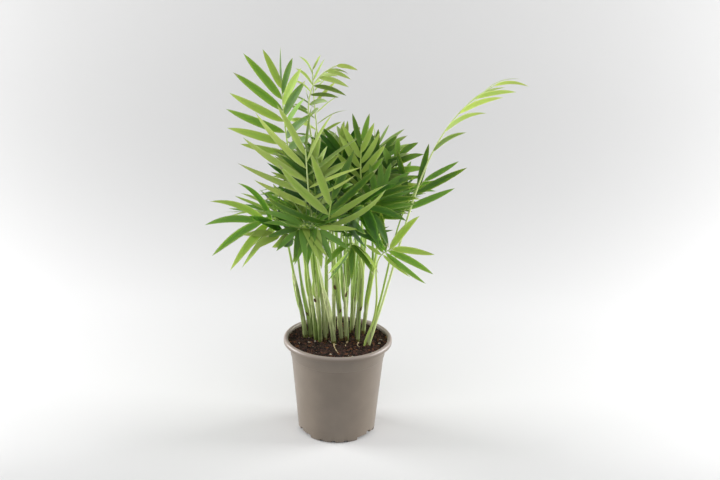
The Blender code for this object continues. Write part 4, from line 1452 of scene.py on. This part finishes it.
def size_property(name, description, default):
    """Three lengths along X, Y and Z, kept in metres."""
    return bpy.props.FloatVectorProperty(
        name=name, description=description, default=default, subtype="XYZ_LENGTH", unit="LENGTH"
    )


def colour_property(name, description, colour):
    """A colour, kept as linear red, green, blue and alpha."""
    return bpy.props.FloatVectorProperty(
        name=name, description=description, default=linear(colour), size=4, min=0, max=1, subtype="COLOR"
    )


class PotSettings(bpy.types.PropertyGroup):
    """Measures of the pot's mesh."""

    sides: bpy.props.IntProperty(name="Sides", description="Flats round the pot", default=160, min=24)
    corner_steps: bpy.props.IntProperty(
        name="Corner Steps", description="Steps in a small rounding", default=5, min=1
    )
    dark: colour_property("Dark Clouds", "Darker shade of the plastic", "#6d6155")
    light: colour_property("Light Clouds", "Lighter shade of the plastic", "#817567")
    # Colour of the painted highlight on the lip's top
    lip_highlight: colour_property("Highlight", "Where its lip is worn", "#a89a93")


class CompostSettings(bpy.types.PropertyGroup):
    """Measures of the compost and its crumbs."""

    sides: bpy.props.IntProperty(name="Sides", description="Flats round the compost", default=128, min=16)
    rings: bpy.props.IntProperty(name="Rings", description="Rings from edge to middle", default=40, min=4)
    lump_scale: bpy.props.FloatProperty(name="Lump Scale", description="Lumps to a metre", default=130)
    lump_height: length_property("Lump Height", "Height of a lump", 1.6 * MM)
    density: bpy.props.FloatProperty(name="Density", description="Crumbs to a square metre", default=330000)
    least_crumb: size_property(
        "Least Crumb", "Half size of the smallest crumb", (0.5 * MM, 0.35 * MM, 0.25 * MM)
    )
    greatest_crumb: size_property(
        "Greatest Crumb", "Half size of the greatest crumb", (3.6 * MM, 1.4 * MM, 0.9 * MM)
    )
    dark: colour_property("Dark Peat", "Darker shade of the damp peat", "#140c08")
    light: colour_property("Light Peat", "Lighter shade of the damp peat", "#47301f")


class StemSettings(bpy.types.PropertyGroup):
    """Measures of the shoots and rachises."""

    sides: bpy.props.IntProperty(name="Sides", description="Flats round a stem", default=12, min=5)
    root_sides: bpy.props.IntProperty(name="Root Sides", description="Flats round a root", default=8, min=5)
    steps: bpy.props.IntProperty(name="Steps", description="Runs along a rachis", default=26, min=4)
    spacing: length_property("Spacing", "Height of one ring of a shoot", 2 * MM)
    relief: length_property("Relief", "Depth of a shoot's ribs", 0.35 * MM)
    foot: length_property("Foot", "Height of a shoot's brown foot over the compost", -1 * MM)
    least_tuck: length_property("Least Tuck", "Least depth in its shoot where a petiole starts", 16 * MM)
    greatest_tuck: length_property("Greatest Tuck", "Greatest depth of the same", 58 * MM)
    sheath: colour_property("Sheath", "Sheaths of a younger shoot", "#dae5a2")
    old_sheath: colour_property("Old Sheath", "Sheaths of an older shoot", "#87a548")
    brown_foot: colour_property("Brown Foot", "Foot of a shoot", "#8f7a48")
    young: colour_property("Young", "Rachises of the youngest fronds", "#d3e29a")
    bright: colour_property("Bright", "Rachises of the bright fronds", "#b6cd6c")
    mid: colour_property("Mid", "Rachises of most fronds", "#a6c060")
    dark: colour_property("Dark", "Rachises of the dark fronds", "#90b052")


class LeafletSettings(bpy.types.PropertyGroup):
    """Measures of the leaflets."""

    rows: bpy.props.IntProperty(name="Rows", description="Rows of points along a leaflet", default=12, min=4)
    thickness: length_property("Thickness", "Thickness of a leaflet", 0.35 * MM)
    camber: bpy.props.FloatProperty(name="Camber", description="Rise of margins over width", default=0.18)
    arch: bpy.props.FloatProperty(name="Arch", description="Its mean arch over its length", default=0.12)
    curl: bpy.props.FloatProperty(name="Curl", description="Greatest curl of a tip over length", default=0.1)
    turn: bpy.props.FloatProperty(
        name="Turn", description="Greatest turn from root to tip", default=math.radians(30), subtype="ANGLE"
    )
    fresh: bpy.props.FloatProperty(
        name="Fresh", description="Share of fresher leaflets", default=0.34, subtype="FACTOR"
    )
    deep: bpy.props.FloatProperty(
        name="Deep", description="Share of deeper green ones", default=0.25, subtype="FACTOR"
    )
    young: colour_property("Young", "Leaflets of the youngest fronds", LEAF_COLOURS["young"])
    bright: colour_property("Bright", "Leaflets of the bright fronds", LEAF_COLOURS["bright"])
    mid: colour_property("Mid", "Leaflets of most fronds", LEAF_COLOURS["mid"])
    dark: colour_property("Dark", "Leaflets of the dark fronds", LEAF_COLOURS["dark"])


class StageSettings(bpy.types.PropertyGroup):
    """Measures of the studio."""

    sweep_start: length_property("Sweep Start", "Where the floor starts to rise", 0.42)
    sweep_radius: length_property("Sweep Radius", "Radius of the sweep", 0.6)
    overhead_power: bpy.props.FloatProperty(
        name="Overhead", description="Light from above", default=21, unit="POWER"
    )
    side_power: bpy.props.FloatProperty(name="Sides", description="Light of one", default=25, unit="POWER")
    surround: bpy.props.FloatProperty(
        name="Surround", description="Strength of the even surround", default=0.2
    )


class PALM_OT_pot(bpy.types.Operator):
    """Turn the nursery pot"""

    bl_idname = "palm.pot"
    bl_label = "Pot"

    def execute(self, context):
        build_pot(context.scene.palm_pot)
        return {"FINISHED"}


class PALM_OT_compost(bpy.types.Operator):
    """Fill the pot with compost"""

    bl_idname = "palm.compost"
    bl_label = "Compost"

    def execute(self, context):
        build_compost(context.scene.palm_compost)
        return {"FINISHED"}


class PALM_OT_shoots(bpy.types.Operator):
    """Grow the shoots, their dry sheaths and the roots at their feet"""

    bl_idname = "palm.shoots"
    bl_label = "Shoots"

    def execute(self, context):
        build_shoots(context.scene.palm_stems)
        build_roots(context.scene.palm_stems)
        build_sheaths(context.scene.palm_leaflets)
        return {"FINISHED"}


class PALM_OT_rachises(bpy.types.Operator):
    """Grow the rachises of every tint"""

    bl_idname = "palm.rachises"
    bl_label = "Rachises"

    def execute(self, context):
        for tint in LEAF_COLOURS:
            build_rachises(context.scene.palm_stems, tint)
        return {"FINISHED"}


class PALM_OT_leaflets(bpy.types.Operator):
    """Grow the leaflets of every tint"""

    bl_idname = "palm.leaflets"
    bl_label = "Leaflets"

    def execute(self, context):
        for tint in LEAF_COLOURS:
            build_leaflets(context.scene.palm_leaflets, tint)
        return {"FINISHED"}


class PALM_OT_stage(bpy.types.Operator):
    """Set up the backdrop, the lights and the camera"""

    bl_idname = "palm.stage"
    bl_label = "Stage"

    def execute(self, context):
        build_backdrop(context.scene.palm_stage)
        build_lights(context.scene.palm_stage)
        build_camera()
        return {"FINISHED"}


class PALM_PT_panel(bpy.types.Panel):
    """The palm's pieces and their measures"""

    bl_idname = "PALM_PT_panel"
    bl_label = "Potted palm"
    bl_space_type = "VIEW_3D"
    bl_region_type = "UI"
    bl_category = "Palm"

    def draw(self, context):
        for operator, group in PIECES:
            box = self.layout.box()
            box.operator(operator)
            settings = getattr(context.scene, group)
            for name in settings.bl_rna.properties.keys():
                if name not in ("rna_type", "name"):
                    box.prop(settings, name)


GROUPS = {
    "palm_pot": PotSettings,
    "palm_compost": CompostSettings,
    "palm_stems": StemSettings,
    "palm_leaflets": LeafletSettings,
    "palm_stage": StageSettings,
}
PIECES = (
    ("palm.pot", "palm_pot"),
    ("palm.compost", "palm_compost"),
    ("palm.shoots", "palm_stems"),
    ("palm.rachises", "palm_stems"),
    ("palm.leaflets", "palm_leaflets"),
    ("palm.stage", "palm_stage"),
)
OPERATORS = (
    PALM_OT_pot, PALM_OT_compost, PALM_OT_shoots, PALM_OT_rachises, PALM_OT_leaflets, PALM_OT_stage
)


def register():
    """Adds the classes, and their settings to every scene."""
    for name, group in GROUPS.items():
        bpy.utils.register_class(group)
        setattr(bpy.types.Scene, name, bpy.props.PointerProperty(type=group))
    for part in (*OPERATORS, PALM_PT_panel):
        bpy.utils.register_class(part)


def unregister():
    """Takes the classes and the settings away again."""
    for part in (PALM_PT_panel, *reversed(OPERATORS)):
        bpy.utils.unregister_class(part)
    for name, group in GROUPS.items():
        delattr(bpy.types.Scene, name)
        bpy.utils.unregister_class(group)


def main():
    """Builds every piece and the stage."""
    register()
    for operator, _ in PIECES:
        area, name = operator.split(".")
        getattr(getattr(bpy.ops, area), name)()


if __name__ == "__main__":
    main()
